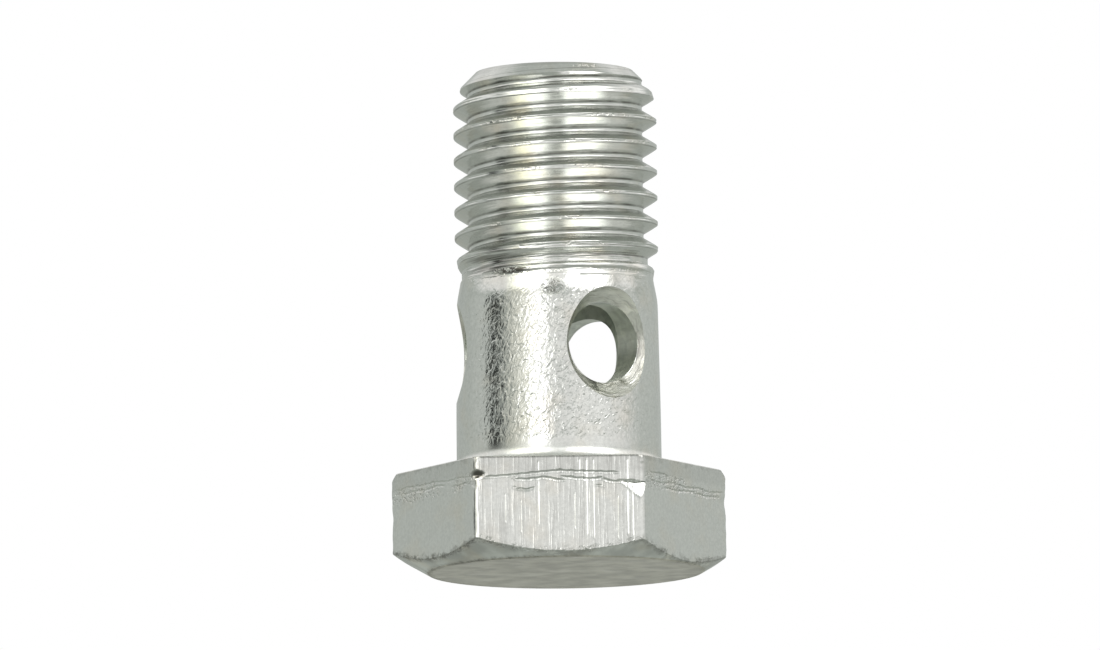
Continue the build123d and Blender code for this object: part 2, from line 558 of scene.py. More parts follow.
# %% [markdown]
# ### Laps, chips and dents
#
# The trimming die that cuts the hexagon smears steel over the flats. It leaves laps near the
# bearing side: thin folds that run along each flat, steep above and shallow below, so they catch
# the light as a dark line over a bright one. Knocks leave dents and chips along the sharp edges.
# These are shapes, not colour, so they are cut into the mesh, and the rows are close together there.

# %% Where the laps run: the depth of each, and its points along the flat and up
FRONT_LAPS = [
    (0.030, [(-4.4, 4.62), (-2.5, 4.74), (-1.3, 4.86), (0.0, 4.96), (1.1, 4.9), (2.3, 4.86), (3.5, 4.81)]),
    (0.040, [
        (-2.8, 4.63), (-2.2, 4.47), (-1.7, 4.48), (-0.75, 4.59),
        (-0.4, 4.49), (0.0, 4.42), (0.4, 4.36),
    ]),
    (0.040, [
        (0.1, 4.63), (1.1, 4.5), (1.9, 4.44), (2.45, 4.51),
        (2.9, 4.33), (3.15, 4.27), (3.7, 4.33), (4.7, 4.28),
    ]),
    (0.024, [(-2.8, 4.07), (-2.25, 3.91), (-1.9, 3.87), (-1.3, 3.99)]),
    (0.018, [(2.05, 4.14), (2.5, 4.02), (2.8, 3.95)]),
]
LEFT_LAPS = [
    (0.028, [(-4.6, 4.75), (-3.0, 4.9), (-1.4, 4.8), (0.2, 4.86), (1.8, 4.72), (3.2, 4.78), (4.6, 4.66)]),
    (0.035, [(-3.6, 4.5), (-2.2, 4.58), (-0.8, 4.5), (0.6, 4.6), (1.6, 4.5)]),
    (0.03, [(2.2, 4.4), (3.2, 4.34), (4.4, 4.42)]),
]
RIGHT_LAPS = [
    (0.034, [(-4.4, 4.5), (-3.0, 4.36), (-1.4, 4.5), (0.0, 4.38), (1.6, 4.48), (2.8, 4.36), (4.6, 4.52)]),
    (0.035, [(-2.6, 4.14), (-1.0, 4.08), (0.6, 4.2), (2.4, 4.1), (4.0, 4.2)]),
    (0.03, [(-4.0, 4.86), (-2.8, 4.92), (-1.8, 4.84)]),
]


def wandering_laps(seed):
    """Two laps for a flat at the back: one long, one short."""
    random = np.random.default_rng(seed)
    long_line = [(x, 4.6 + random.normal(0, 0.1)) for x in np.linspace(-4.2, 4.2, 9)]
    start = random.uniform(-3, 1)
    short_line = [(start + x, 4.2 + random.normal(0, 0.06)) for x in np.linspace(0, 2.4, 5)]
    return [(0.028, long_line), (0.02, short_line)]


flat_laps = {270: FRONT_LAPS, 210: LEFT_LAPS, 330: RIGHT_LAPS}
for facing in (30, 90, 150):
    flat_laps[facing] = wandering_laps(facing)
print("laps by the way their flat faces", {facing: len(laps) for facing, laps in flat_laps.items()})

# %% How the laps cut the flats
LAP_WALL, LAP_FOOT = 0.06, 0.12  # how far each lap reaches above and below its line
LAP_FADE = 0.3
LAP_WOBBLES = ((11, 1, 0.022), (29, 2, 0.02))  # waves along the lap, their shift, how high each is


def turned_from(angle, facing):
    """How far each direction is turned from the one that faces this many degrees, at most half a turn."""
    return (angle - math.radians(facing) + np.pi) % (2 * np.pi) - np.pi


def lap_depth(angle, height):
    """How deep the laps cut the flats, in each direction at these heights."""
    depth = np.zeros_like(angle)
    for facing, laps in flat_laps.items():
        off = turned_from(angle, facing)
        on_flat = np.abs(off) <= math.radians(30) + 1e-6
        along = flat_distance * np.tan(np.where(on_flat, off, 0))
        for cut, line in laps:
            x, z = np.array(line).T
            fade = np.clip((along - x[0]) / LAP_FADE, 0, 1) * np.clip((x[-1] - along) / LAP_FADE, 0, 1)
            wobble = sum(high * np.sin(waves * along + shift * facing) for waves, shift, high in LAP_WOBBLES)
            up = height - np.interp(along, x, z) - wobble
            wall = np.where(up > 0, 1 - up / LAP_WALL, 1 + up / LAP_FOOT)
            depth = np.maximum(depth, on_flat * fade * cut * np.clip(wall, 0, 1))
    return depth


print(f"each lap is {LAP_WALL + LAP_FOOT:.2f} tall")

# %% Dents and a chip
DENTS = [  # direction in degrees, height, how far it spreads in degrees, how tall, and how deep
    (240.4, 4.75, 1.5, 0.17, 0.2),
    (239.0, 4.3, 1.0, 0.25, 0.05),
    (0.0, 3.9, 3.0, 0.4, 0.1),
    (0.5, 4.6, 2.0, 0.15, 0.03),
    (300.0, 5.3, 1.2, 0.2, 0.03),
    (118.5, 2.6, 2.0, 0.5, 0.09),
    (180.3, 3.1, 1.6, 0.4, 0.06),
    (61.0, 4.1, 1.5, 0.3, 0.08),
]
CHIP_CORNER = 300
CHIP_FACING, CHIP_TILT = 280, 12  # the way the chip's own small face looks
CHIP_BOTTOM, CHIP_TOP = 3.15, 4.3
CHIP_SPREAD = 9  # it stays this many degrees from its corner
CHIP_EASE = 0.02
UNCUT = 99.0  # further out than anything else


def dent_depth(angle, height):
    depth = np.zeros_like(angle)
    for direction, level, spread, tall, deep in DENTS:
        off = turned_from(angle, direction)
        depth += deep * np.exp(-((np.degrees(off) / spread) ** 2) - ((height - level) / tall) ** 2)
    return depth


def chip_reach(angle, height):
    """The plane that the chip left. It starts at the corner and widens upwards, as far as a lap."""
    tilt, facing = math.radians(CHIP_TILT), math.radians(CHIP_FACING)
    reach_at_corner = corner_radius * math.cos(math.radians(CHIP_CORNER) - facing)
    offset = reach_at_corner * math.cos(tilt) + CHIP_BOTTOM * math.sin(tilt)
    facing_it = np.clip(np.cos(angle - facing), 0.2, 1)
    reach = (offset - height * math.sin(tilt)) / (math.cos(tilt) * facing_it)
    near = np.abs(turned_from(angle, CHIP_CORNER)) < math.radians(CHIP_SPREAD)
    return np.where(near & (height < CHIP_TOP), reach, UNCUT)


print(len(DENTS), "dents, the deepest", max(dent[-1] for dent in DENTS))

# %% How far out the head's side is
def edge_wear(angle, height):
    """From -1 to 1: two waves up each vertical edge, of which one starts elsewhere at every corner."""
    corner = np.round(angle * 3 / np.pi)
    return 0.5 * np.sin(3.1 * height + 5 * corner) + 0.5 * np.sin(7.3 * height + 2)


def head_side(angle, height):
    """How far out the head's side is, in each direction at these heights."""
    reach = flat_reach(angle, EDGE_EASE * (1 + EDGE_WEAR * edge_wear(angle, height)))
    reach = smooth_min(reach, chip_reach(angle, height), CHIP_EASE) - lap_depth(angle, height)
    reach = smooth_min(reach, chamfer_reach(angle, height), CREASE_EASE)
    reach = smooth_min(reach, break_reach(angle, height), CORNER_BREAK_EASE)
    up = np.clip(height - (HEAD_HEIGHT - TOP_ROUND), 0, TOP_ROUND)
    rounding = TOP_ROUND - np.sqrt(TOP_ROUND**2 - up**2)
    return reach - dent_depth(angle, height) - rounding


corners = np.radians([0, 60, 120, 180, 240, 300])
print("corners half way up", head_side(corners, np.full(6, HEAD_HEIGHT / 2)).round(2))

# %% How the head's mesh is divided
CORNER_STEPS = (0.2, 0.5, 0.9, 1.4, 2.0, 2.8)  # degrees from a corner
FLAT_STEPS = 64
END_FACE_RINGS = (0.0, 0.6, 0.95)  # shares of the end face's radius
CHAMFER_ROWS = (0.0, 0.1, 0.5)  # shares of the chamfer's height
CREASE_STEPS = (-0.14, -0.08, -0.04, -0.013, 0.013, 0.04, 0.08, 0.14)  # from the chamfer's top
ROW_STAGES = (  # up to each height, so many rows
    (3.0, 7),
    (3.85, 7),
    (5.05, 40),
    (HEAD_HEIGHT - TOP_ROUND, 8),
)
TOP_ROWS = (0.6, 0.3, 0.1, 0.0)  # shares of the top's rounding that are still to come
LOWEST_CREASE = 0.05
RIM_SHARE = 0.97
FLARE_RING = SHANK_RADIUS + UNDERHEAD_RADIUS  # points on the bearing face, just outside the flare
print("rows up the head's side", len(CHAMFER_ROWS + CREASE_STEPS + TOP_ROWS) + sum(n for _, n in ROW_STAGES))


# %% Directions and rows
def head_directions():
    """Directions round the head, close together at the corners."""
    flat = np.linspace(CORNER_STEPS[-1], 60 - CORNER_STEPS[-1], FLAT_STEPS)[1:-1]
    side = list(CORNER_STEPS) + list(flat)
    side += [60 - step for step in reversed(CORNER_STEPS)]
    return np.radians([corner * 60 + step for corner in range(6) for step in [0.0] + side])


def head_rows(angle):
    """Radius and height of every row, from the middle of the end face to the middle of the top."""
    end_edge = chamfer_reach(angle, 0)
    rows = [(end_edge * share, np.zeros_like(angle)) for share in END_FACE_RINGS]
    flat = flat_reach(angle, EDGE_EASE)
    crease = (flat - END_FACE_RADIUS - END_CHAMFER_SHIFT_X * np.cos(angle)) * chamfer_slope
    crease = np.maximum(crease, LOWEST_CREASE)
    heights = [crease * share for share in CHAMFER_ROWS]
    heights += [np.maximum(crease + step, crease * (0.7 + 0.02 * i)) for i, step in enumerate(CREASE_STEPS)]
    for level, count in ROW_STAGES:
        last = heights[-1]
        heights += [last + (level - last) * i / count for i in range(1, count + 1)]
    heights += [np.full_like(angle, HEAD_HEIGHT - TOP_ROUND * share) for share in TOP_ROWS]
    rows += [(head_side(angle, height), height) for height in heights]
    top = np.full_like(angle, HEAD_HEIGHT)
    rows.append((rows[-1][0] * RIM_SHARE, top))
    rows.append((np.full_like(angle, FLARE_RING), top))
    rows.append((np.zeros_like(angle), top))
    return rows


directions = head_directions()
print(len(directions), "directions round the head")


# %% The head's mesh
def lofted(rows, angle, name):
    """A closed mesh through rows of radius and height, one point for each direction."""
    points = [(radius * np.cos(angle), radius * np.sin(angle), height) for radius, height in rows]
    points = np.stack([np.stack(row, axis=1) for row in points])
    count = len(angle)
    here = np.arange(count)
    after = np.roll(here, -1)
    faces = []
    for row in range(len(rows) - 1):
        low, high = row * count, (row + 1) * count
        faces += np.stack([low + here, low + after, high + after, high + here], axis=1).tolist()
    mesh = bpy.data.meshes.new(name)
    mesh.from_pydata(points.reshape(-1, 3).tolist(), [], faces)
    return mesh


def weld(mesh, distance=0.0005):
    """Merges doubles, drops what has no area and turns the faces outwards."""
    form = bmesh.new()
    form.from_mesh(mesh)
    bmesh.ops.remove_doubles(form, verts=form.verts, dist=distance)
    bmesh.ops.dissolve_degenerate(form, edges=form.edges, dist=distance / 5)
    bmesh.ops.recalc_face_normals(form, faces=form.faces)
    form.to_mesh(mesh)
    form.free()
    mesh.update()


head_mesh = lofted(head_rows(directions), directions, "head")
head_mesh.transform(Matrix.Translation((HEAD_SHIFT_X, 0, 0)))
weld(head_mesh)
head = object_of(head_mesh, "head")
print("head", len(head_mesh.vertices), "points", len(head_mesh.polygons), "faces")

# %% [markdown]
# ## Drilling
#
# The bore and the cross holes are cut as a drill would cut them: a turned shape of each tool is
# taken away from the solid. The manifold solver is quick and keeps the result closed. A countersink
# that is cut by hand chatters, so its cone is not quite round, and no two are the same size.

# %% A solid turned round an axis
TOOL_STEPS = 120
DRILL_FLAT, DRILL_POINT_ANGLE = 0.3, 118
MOUTH_BREAK = 0.15  # a bevel where the bore comes out of the tip
CONE_STEP = 0.02  # the cone starts this far outside the hole, and only the cone chatters
SINK_RADII = (3.36, 3.28, 3.0)  # where each countersink's cone passes the shank's radius
CHATTER = ((3, 0.03), (7, 0.006), (11, 0.003))  # waves round the cone, and how high each is


def turned_tool(profile, name, chatter=()):
    """A closed solid turned round Z from (radius, height) points that start and end on the axis."""
    angle = np.linspace(0, 2 * np.pi, TOOL_STEPS, endpoint=False)
    wave = sum((high * np.sin(lobes * angle + lobes) for lobes, high in chatter), np.zeros_like(angle))
    rows = [(r + wave * (r > PORT_RADIUS + CONE_STEP / 2), np.full_like(angle, z)) for r, z in profile]
    mesh = lofted(rows, angle, name)
    weld(mesh)
    return object_of(mesh, name)


print("countersinks", SINK_RADII, "against holes of", PORT_RADIUS)


# %% The drill and the countersinks
def bore_tool():
    point = (BORE_RADIUS - DRILL_FLAT) / math.tan(math.radians(DRILL_POINT_ANGLE / 2))
    profile = [
        (0, BORE_FLOOR - point),
        (DRILL_FLAT, BORE_FLOOR - point),
        (BORE_RADIUS, BORE_FLOOR),
        (BORE_RADIUS, LENGTH - MOUTH_BREAK),
        (BORE_RADIUS + MOUTH_BREAK + 1, LENGTH + 1),
        (0, LENGTH + 1),
    ]
    return turned_tool(profile, "bore_tool")


def port_tool(port, sink_radius):
    depth = sink_radius - PORT_RADIUS
    profile = [
        (0, 1.0),
        (PORT_RADIUS, 1.0),
        (PORT_RADIUS, SHANK_RADIUS - depth),
        (PORT_RADIUS + CONE_STEP, SHANK_RADIUS - depth + CONE_STEP),
        (sink_radius + 2, SHANK_RADIUS + 2),
        (0, SHANK_RADIUS + 2),
    ]
    tool = turned_tool(profile, port["name"], CHATTER)
    outward = Vector(port["axis"])
    tool.data.transform(outward.to_track_quat("Z", "Y").to_matrix().to_4x4())
    tool.data.transform(Matrix.Translation((0, 0, PORT_HEIGHT)))
    return tool


print("the drill stops", round(BORE_FLOOR, 2), "above the head's end, and its point goes on from there")


# %% Cutting
def boolean(target, tool, operation):
    modifier = target.modifiers.new(operation, "BOOLEAN")
    modifier.operation = operation
    modifier.solver = "MANIFOLD"
    modifier.object = tool
    made = mesh_of(target)
    # A solver that is given an open mesh only warns, and hands back what it was given.
    if len(made.vertices) == len(target.data.vertices):
        raise RuntimeError(f"{operation} with {tool.name} changed nothing")
    target.modifiers.clear()
    target.data = made
    bpy.data.objects.remove(tool)


boolean(stem, head, "UNION")
boolean(stem, bore_tool(), "DIFFERENCE")
for port, sink_radius in zip(ports, SINK_RADII):
    boolean(stem, port_tool(port, sink_radius), "DIFFERENCE")
print("drilled", len(stem.data.vertices), "points", len(stem.data.polygons), "faces")

# %% Into metres, as one piece
SHARP_ANGLE = 38  # degrees; edges that turn more than this stay sharp
bolt = stem
bolt.name = "banjo_bolt_finished"
bolt.data.name = bolt.name
bolt.data.transform(Matrix.Scale(MM, 4))
bolt.data.shade_smooth()
bolt.data.set_sharp_from_angle(angle=math.radians(SHARP_ANGLE))
check = bmesh.new()
check.from_mesh(bolt.data)
open_edges = sum(1 for edge in check.edges if not edge.is_manifold)
triangles = sum(len(face.verts) - 2 for face in check.faces)
print("open edges", open_edges, "triangles", triangles, "volume mm3", round(check.calc_volume() / MM**3, 1))
check.free()

# %% [markdown]
# ## Finishes
#
# Bright zinc is one colour all over, but every surface under it was made another way, and that is
# what the eye reads: the shank is wrinkled like orange peel, the thread carries fine lines along
# its turns, the flats are streaked where the trimming die ran along them, and the ends are matt.
# So the colour and the reliefs are shared groups, and each finish is the same steel under its own
# mix of them. The groups work from the object's own coordinates: a mark that belongs to a place,
# such as the crest of the thread, finds that place by the same formula that shaped it.

# %% The plating's colours
ZINC = (0.70, 0.72, 0.685, 1.0)
ZINC_WARM = (0.71, 0.69, 0.61, 1.0)
ZINC_DULL = (0.71, 0.74, 0.68, 1.0)
# a lighter copy of the plating's colour: painted light on the countersinks
ZINC_PAINTED_LIGHT = (0.80, 0.81, 0.745, 1.0)
ZINC_END_FACE_TONE = (0.64, 0.62, 0.53, 1.0)
# the dark colour of grime, also laid on as painted shade in the thread's root and at the flats' top edges
GRIME_AND_SHADE = (0.13, 0.125, 0.11, 1.0)
SHADER_TREE = "ShaderNodeTree"
FLOAT, COLOUR, VECTOR = "NodeSocketFloat", "NodeSocketColor", "NodeSocketVector"


def place_in_mm(graph):
    place = graph.node("ShaderNodeTexCoord").outputs["Object"]
    return graph.scaled(place, 1 / MM)


def zinc_colour_group():
    """The plating's colour, with faint warm clouds and a darker tint where a mask says so."""
    graph, given, result = group_with(
        SHADER_TREE,
        "zinc_colour",
        [
            ("Cloud Size", FLOAT, 2.0),
            ("Warmth", FLOAT, 0.5),
            ("Mottle", FLOAT, 0.0),
            ("Mottle Scale", FLOAT, 2.0),
            ("Grime", FLOAT, 0.0),
            ("Base", COLOUR, ZINC),
            ("Warm", COLOUR, ZINC_WARM),
        ],
        [("Color", COLOUR)],
    )
    place = place_in_mm(graph)
    clouds = graph.noise(place, scale=graph.div(1.0, given["Cloud Size"]), detail=3.0)
    warm_here = graph.mul(graph.step(clouds, 0.45, 0.75), given["Warmth"])
    mixed = graph.blend_colour(warm_here, given["Base"], given["Warm"])
    mottle = graph.noise(place, scale=given["Mottle Scale"], detail=4.0)
    shade = graph.add(1.0, graph.mul(graph.step(mottle, 0.32, 0.68, -1.0, 1.0), given["Mottle"]))
    # how much of the dark colour a point takes, for grime and for painted shade alike
    dark_share = graph.least(graph.most(given["Grime"], 0.0), 1.0)
    graph.feed(result["Color"], graph.blend_colour(dark_share, graph.scaled(mixed, shade), GRIME_AND_SHADE))
    return graph.tree


zinc_colour = zinc_colour_group()
print("colour group", zinc_colour.name)


# %% Plain relief
def relief_group():
    """A height from 0 to 1 that wrinkles at Scale a millimetre, turned and drawn out by Stretch."""
    graph, given, result = group_with(
        SHADER_TREE,
        "relief",
        [
            ("Scale", FLOAT, 3.0),
            ("Turn", VECTOR, (0.0, 0.0, 0.0)),
            ("Stretch", VECTOR, (1.0, 1.0, 1.0)),
            ("Detail", FLOAT, 2.0),
            ("Twist", FLOAT, 0.0),
        ],
        [("Height", FLOAT)],
    )
    turned = graph.node(
        "ShaderNodeVectorRotate",
        {"Vector": place_in_mm(graph), "Rotation": given["Turn"]},
        rotation_type="EULER_XYZ",
    ).outputs[0]
    drawn = graph.vector("MULTIPLY", turned, given["Stretch"])
    graph.feed(result["Height"], graph.noise(drawn, given["Scale"], given["Detail"], given["Twist"]))
    return graph.tree


relief = relief_group()
print("relief group", relief.name)


# %% Where a point lies on the hexagon
SIDE_SHIFT = 5.5  # added towards +Y and taken off towards -Y, so that opposite flats differ


def hexagon_place_group():
    """How far along its flat and up a point lies, and how far from the chamfer's two edges."""
    graph, given, result = group_with(
        SHADER_TREE,
        "hexagon_place",
        [("Across Flats", FLOAT, ACROSS_FLATS)],
        [("Along", FLOAT), ("Up", FLOAT), ("Off Chamfer", FLOAT), ("Off End", FLOAT)],
    )
    place = graph.split(place_in_mm(graph))
    x, y, z = graph.sub(place["X"], HEAD_SHIFT_X), place["Y"], place["Z"]
    half, tall = math.sin(math.radians(30)), math.cos(math.radians(30))

    # Three pairs of flats: how far out and how far along each pair the point is.
    out = [
        y,
        graph.add(graph.mul(x, tall), graph.mul(y, half)),
        graph.sub(graph.mul(y, half), graph.mul(x, tall)),
    ]
    along = [
        x,
        graph.sub(graph.mul(y, tall), graph.mul(x, half)),
        graph.add(graph.mul(x, half), graph.mul(y, tall)),
    ]
    far = [graph.size(value) for value in out]
    first = graph.math("GREATER_THAN", far[0], graph.most(far[1], far[2]))
    second = graph.math("GREATER_THAN", far[1], far[2])
    chosen = graph.blend(first, graph.blend(second, along[2], along[1]), along[0])
    furthest = graph.most(far[0], graph.most(far[1], far[2]))

    # The chamfer is a cone, which starts at the end face's rim.
    radius = graph.hypotenuse(x, y)
    rim = graph.add(END_FACE_RADIUS, graph.mul(END_CHAMFER_SHIFT_X, graph.div(x, radius)))
    above_cone = graph.sub(z, graph.mul(graph.sub(radius, rim), chamfer_slope))
    inside_flat = graph.sub(graph.mul(given["Across Flats"], 0.5), furthest)
    graph.feed(result["Along"], graph.add(chosen, graph.mul(graph.math("SIGN", y), SIDE_SHIFT)))
    graph.feed(result["Up"], z)
    graph.feed(result["Off Chamfer"], graph.most(graph.size(above_cone), inside_flat))
    graph.feed(result["Off End"], graph.add(graph.size(graph.sub(radius, rim)), z))
    return graph.tree


hexagon_place = hexagon_place_group()
outputs = [item.name for item in hexagon_place.interface.items_tree if item.in_out == "OUTPUT"]
print("group", hexagon_place.name, "gives", outputs)

# %% Where a point lies on the thread
CLIMB_SQUASH = 0.06  # how much of the way round counts, so that noise is drawn out along the turns


def thread_place_group():
    """How far above the middle of its crest a point of the thread lies, and how far up the bolt."""
    graph, given, result = group_with(
        SHADER_TREE,
        "thread_place",
        [("Pitch", FLOAT, PITCH)],
        [("Off Crest", FLOAT), ("Climb", VECTOR), ("Up", FLOAT)],
    )
    place = graph.split(place_in_mm(graph))
    share = graph.div(graph.math("ARCTAN2", place["Y"], place["X"]), 2 * math.pi)
    turns = graph.sub(graph.div(graph.sub(place["Z"], THREAD_START), given["Pitch"]), share)
    from_crest = graph.sub(turns, graph.math("ROUND", turns))
    climb = graph.join(
        graph.mul(place["X"], CLIMB_SQUASH),
        graph.mul(place["Y"], CLIMB_SQUASH),
        graph.mul(turns, given["Pitch"]),
    )
    graph.feed(result["Off Crest"], graph.mul(from_crest, given["Pitch"]))
    graph.feed(result["Climb"], climb)
    graph.feed(result["Up"], place["Z"])
    return graph.tree


thread_place = thread_place_group()
print("group", thread_place.name)

# %% Where a point lies round a cross hole
HOLES_APART = 5.0  # keeps the noise of one hole clear of the next one's


def port_place_group():
    """Where a point lies round the axis of the nearest cross hole, and how far from that axis."""
    graph, given, result = group_with(
        SHADER_TREE,
        "port_place",
        [("Height", FLOAT, PORT_HEIGHT), ("First Angle", FLOAT, FIRST_PORT_ANGLE)],
        [("Around", VECTOR), ("Off Axis", FLOAT)],
    )
    place = graph.split(place_in_mm(graph))
    apart = 2 * math.pi / len(ports)
    angle = graph.sub(graph.math("ARCTAN2", place["Y"], place["X"]), given["First Angle"])
    number = graph.math("ROUND", graph.div(angle, apart))
    turned = graph.sub(angle, graph.mul(number, apart))
    aside = graph.mul(graph.hypotenuse(place["X"], place["Y"]), graph.math("SINE", turned))
    up = graph.sub(place["Z"], given["Height"])
    off_axis = graph.hypotenuse(aside, up)
    around = graph.join(
        graph.div(aside, off_axis),
        graph.div(up, off_axis),
        graph.mul(number, HOLES_APART),
    )
    graph.feed(result["Around"], around)
    graph.feed(result["Off Axis"], off_axis)
    return graph.tree


port_place = port_place_group()
print("group", port_place.name)

# %% [markdown]
# ### Marks that several finishes share
#
# Wear is seldom even, and it doesn't stop where one surface meets the next. Grime gathers in the
# edge between flats and chamfer and shows on both; a scuff by the neck crosses from the shank to
# the thread. Each such mark is one group, placed in both materials, so the two halves meet.


# %% Spots
def spot_mask(graph, centre, reach):
    """1 at the centre, falling to 0 at the reach from it along each axis, in millimetres."""
    share = graph.vector("DIVIDE", graph.vector("SUBTRACT", place_in_mm(graph), centre), reach)
    return graph.step(graph.length(share), 0.3, 1.0, 1.0, 0.0)


def spot_group():
    graph, given, result = group_with(
        SHADER_TREE,
        "spot",
        [("Centre", VECTOR, (0.0, 0.0, 0.0)), ("Reach", VECTOR, (1.0, 1.0, 1.0))],
        [("Mask", FLOAT)],
    )
    graph.feed(result["Mask"], spot_mask(graph, given["Centre"], given["Reach"]))
    return graph.tree


spot = spot_group()
print("group", spot.name)

# %% Scuffs by the neck
SMALL_SCUFF = (-0.25, -5.8, 16.05)
LONG_SCUFF = (-2.6, -5.0, 17.1)
SCUFF_DEPTH = 0.11


def scuffs_group():
    """A small crinkled scuff, and a long dark one where the thread runs out."""
    graph, given, result = group_with(
        SHADER_TREE,
        "scuffs",
        [("Small Centre", VECTOR, SMALL_SCUFF), ("Long Centre", VECTOR, LONG_SCUFF)],
        [("Height", FLOAT), ("Grime", FLOAT)],
    )
    crinkle = graph.noise(place_in_mm(graph), scale=3.4, detail=2.0, distortion=1.2)
    small = spot_mask(graph, given["Small Centre"], (0.85, 3.0, 0.6))
    long = spot_mask(graph, given["Long Centre"], (1.45, 3.0, 0.24))
    loops = graph.mul(graph.tent(graph.sub(crinkle, 0.5), 0.045), small)
    gouge = graph.mul(graph.step(crinkle, 0.44, 0.52), long)
    graph.feed(result["Height"], graph.add(loops, gouge))
    graph.feed(result["Grime"], graph.add(graph.mul(loops, 0.8), gouge, graph.mul(small, 0.12)))
    return graph.tree


scuffs = scuffs_group()
print("scuffs at heights", SMALL_SCUFF[2], "and", LONG_SCUFF[2])


# %% Ragged dark edges, for grit and for painted shade
def ragged_edge_group():
    """1 on an edge: a thin line that wavers, with blots that reach as far as Width. It marks grit, and
    painted shade.
    """
    graph, given, result = group_with(
        SHADER_TREE,
        "ragged_edge",
        [
            ("Distance", FLOAT, 1.0),
            ("Width", FLOAT, 0.26),
            ("Raggedness", FLOAT, 1.2),
            ("Scale", FLOAT, 2.6),
            ("Stretch", VECTOR, (1.0, 0.45, 1.0)),
        ],
        [("Mask", FLOAT)],
    )
    drawn = graph.vector("MULTIPLY", place_in_mm(graph), given["Stretch"])
    noise = graph.noise(drawn, given["Scale"], detail=3.0)
    grit = graph.mul(graph.sub(noise, 0.5), given["Raggedness"])
    blots = graph.step(graph.add(given["Distance"], grit), 0.0, given["Width"], 1.0, 0.0)
    wavering = graph.add(given["Distance"], graph.mul(grit, 0.25))
    line = graph.step(wavering, 0.0, graph.mul(given["Width"], 0.4), 1.0, 0.0)
    graph.feed(result["Mask"], graph.most(line, graph.mul(blots, 0.8)))
    return graph.tree


ragged_edge = ragged_edge_group()
print("group", ragged_edge.name)


# %% Pits along edges
def edge_pits_group():
    """Pits where Near Edge is 1, in patches, and where those patches are."""
    graph, given, result = group_with(
        SHADER_TREE,
        "edge_pits",
        [
            ("Near Edge", FLOAT, 1.0),
            ("Patch Scale", FLOAT, 0.55),
            ("Detail", FLOAT, 3.0),
            ("Twist", FLOAT, 0.0),
        ],
        [("Pits", FLOAT), ("Patch", FLOAT)],
    )
    place = place_in_mm(graph)
    patch = graph.step(graph.noise(place, given["Patch Scale"], detail=2.0), 0.36, 0.56)
    noise = graph.noise(place, 2.6, given["Detail"], given["Twist"])
    graph.feed(result["Pits"], graph.mul(graph.step(noise, 0.42, 0.58), given["Near Edge"], patch))
    graph.feed(result["Patch"], patch)
    return graph.tree


edge_pits = edge_pits_group()
print("group", edge_pits.name)


# %% Building a finish
class Finish:
    """A zinc material. Reliefs are laid over each other as bumps."""

    def __init__(self, name, roughness, warmth=0.4, mottle=0.0, mottle_scale=2.0, base=ZINC):
        self.material = bpy.data.materials.new(name)
        self.material.use_nodes = True
        self.graph = Graph(self.material.node_tree)
        self.shader = self.material.node_tree.nodes["Principled BSDF"]
        self.shader.inputs["Metallic"].default_value = 1.0
        self.shader.inputs["Roughness"].default_value = roughness
        values = {"Warmth": warmth, "Mottle": mottle, "Mottle Scale": mottle_scale, "Base": base}
        self.colour = self.graph.node("ShaderNodeGroup", values, node_tree=zinc_colour)
        self.graph.feed(self.shader.inputs["Base Color"], self.colour.outputs["Color"])
        self.normal = None

    def bump(self, height, depth):
        """Lays a relief of this depth, in millimetres, over what is there."""
        made = self.graph.node("ShaderNodeBump", {"Distance": depth * MM, "Height": height})
        if self.normal is not None:
            self.graph.feed(made.inputs["Normal"], self.normal)
        self.normal = made.outputs["Normal"]
        self.graph.feed(self.shader.inputs["Normal"], self.normal)

    def pit(self, mask, depth):
        """Sinks the surface by this depth where the mask is 1."""
        self.bump(self.graph.sub(1.0, mask), depth)

    def wrinkle(self, depth, scale, stretch=(1, 1, 1), turn=(0, 0, 0), detail=2.0, twist=0.0, where=1.0):
        """Lays wrinkles over what is there. They fade out where the mask is 0."""
        values = {"Scale": scale, "Stretch": stretch, "Turn": turn, "Detail": detail, "Twist": twist}
        height = self.graph.sub(self.graph.group(relief, values)["Height"], 0.5)
        self.bump(self.graph.mul(height, where), depth)

    def darken(self, *masks):
        """Puts the dark colour where these masks add up to more than 0: grime, and painted shade where a
        finish asks for it.
        """
        self.graph.feed(self.colour.inputs["Grime"], self.graph.add(*masks))


finishes = {}


def keep_finish(surface, material):
    finishes[surface] = material
    print(material.name, "has", len(material.node_tree.nodes), "nodes")


# %% [markdown]
# ### The shank's finish
#
# The shank was squeezed when the head was formed, and its skin wrinkled like orange peel: a broad
# relief, drawn out along a slant, under a finer one. The plating over it is nearly a mirror, so the
# wrinkles show as light and dark flecks. They fade where the neck and the flare begin.

# %% Shank
SHANK_ROUGHNESS, FLARE_ROUGHNESS = 0.06, 0.3
SLANT = (0, math.radians(-32), 0)


def shank_finish():
    finish = Finish("zinc_wrinkled_shank", SHANK_ROUGHNESS, warmth=0.6, mottle=0.05, mottle_scale=5.0)
    graph = finish.graph
    up = graph.split(place_in_mm(graph))["Z"]
    roughness = graph.step(up, 6.5, 7.4, FLARE_ROUGHNESS, SHANK_ROUGHNESS)
    graph.feed(finish.shader.inputs["Roughness"], roughness)
    below_neck = graph.step(up, 15.3, 16.1, 1.0, 0.25)
    above_flare = graph.step(up, 6.8, 7.6, 0.15, 1.0)
    plain = graph.mul(below_neck, above_flare)
    finish.wrinkle(depth=0.042, scale=2.65, stretch=(1.5, 1.0, 0.85), turn=SLANT, twist=0.8, where=plain)
    finish.wrinkle(depth=0.006, scale=6.0, detail=1.0, where=plain)
    scuffed = graph.group(scuffs)
    finish.bump(scuffed["Height"], SCUFF_DEPTH)
    finish.darken(scuffed["Grime"])
    return finish.material


keep_finish("shank", shank_finish())
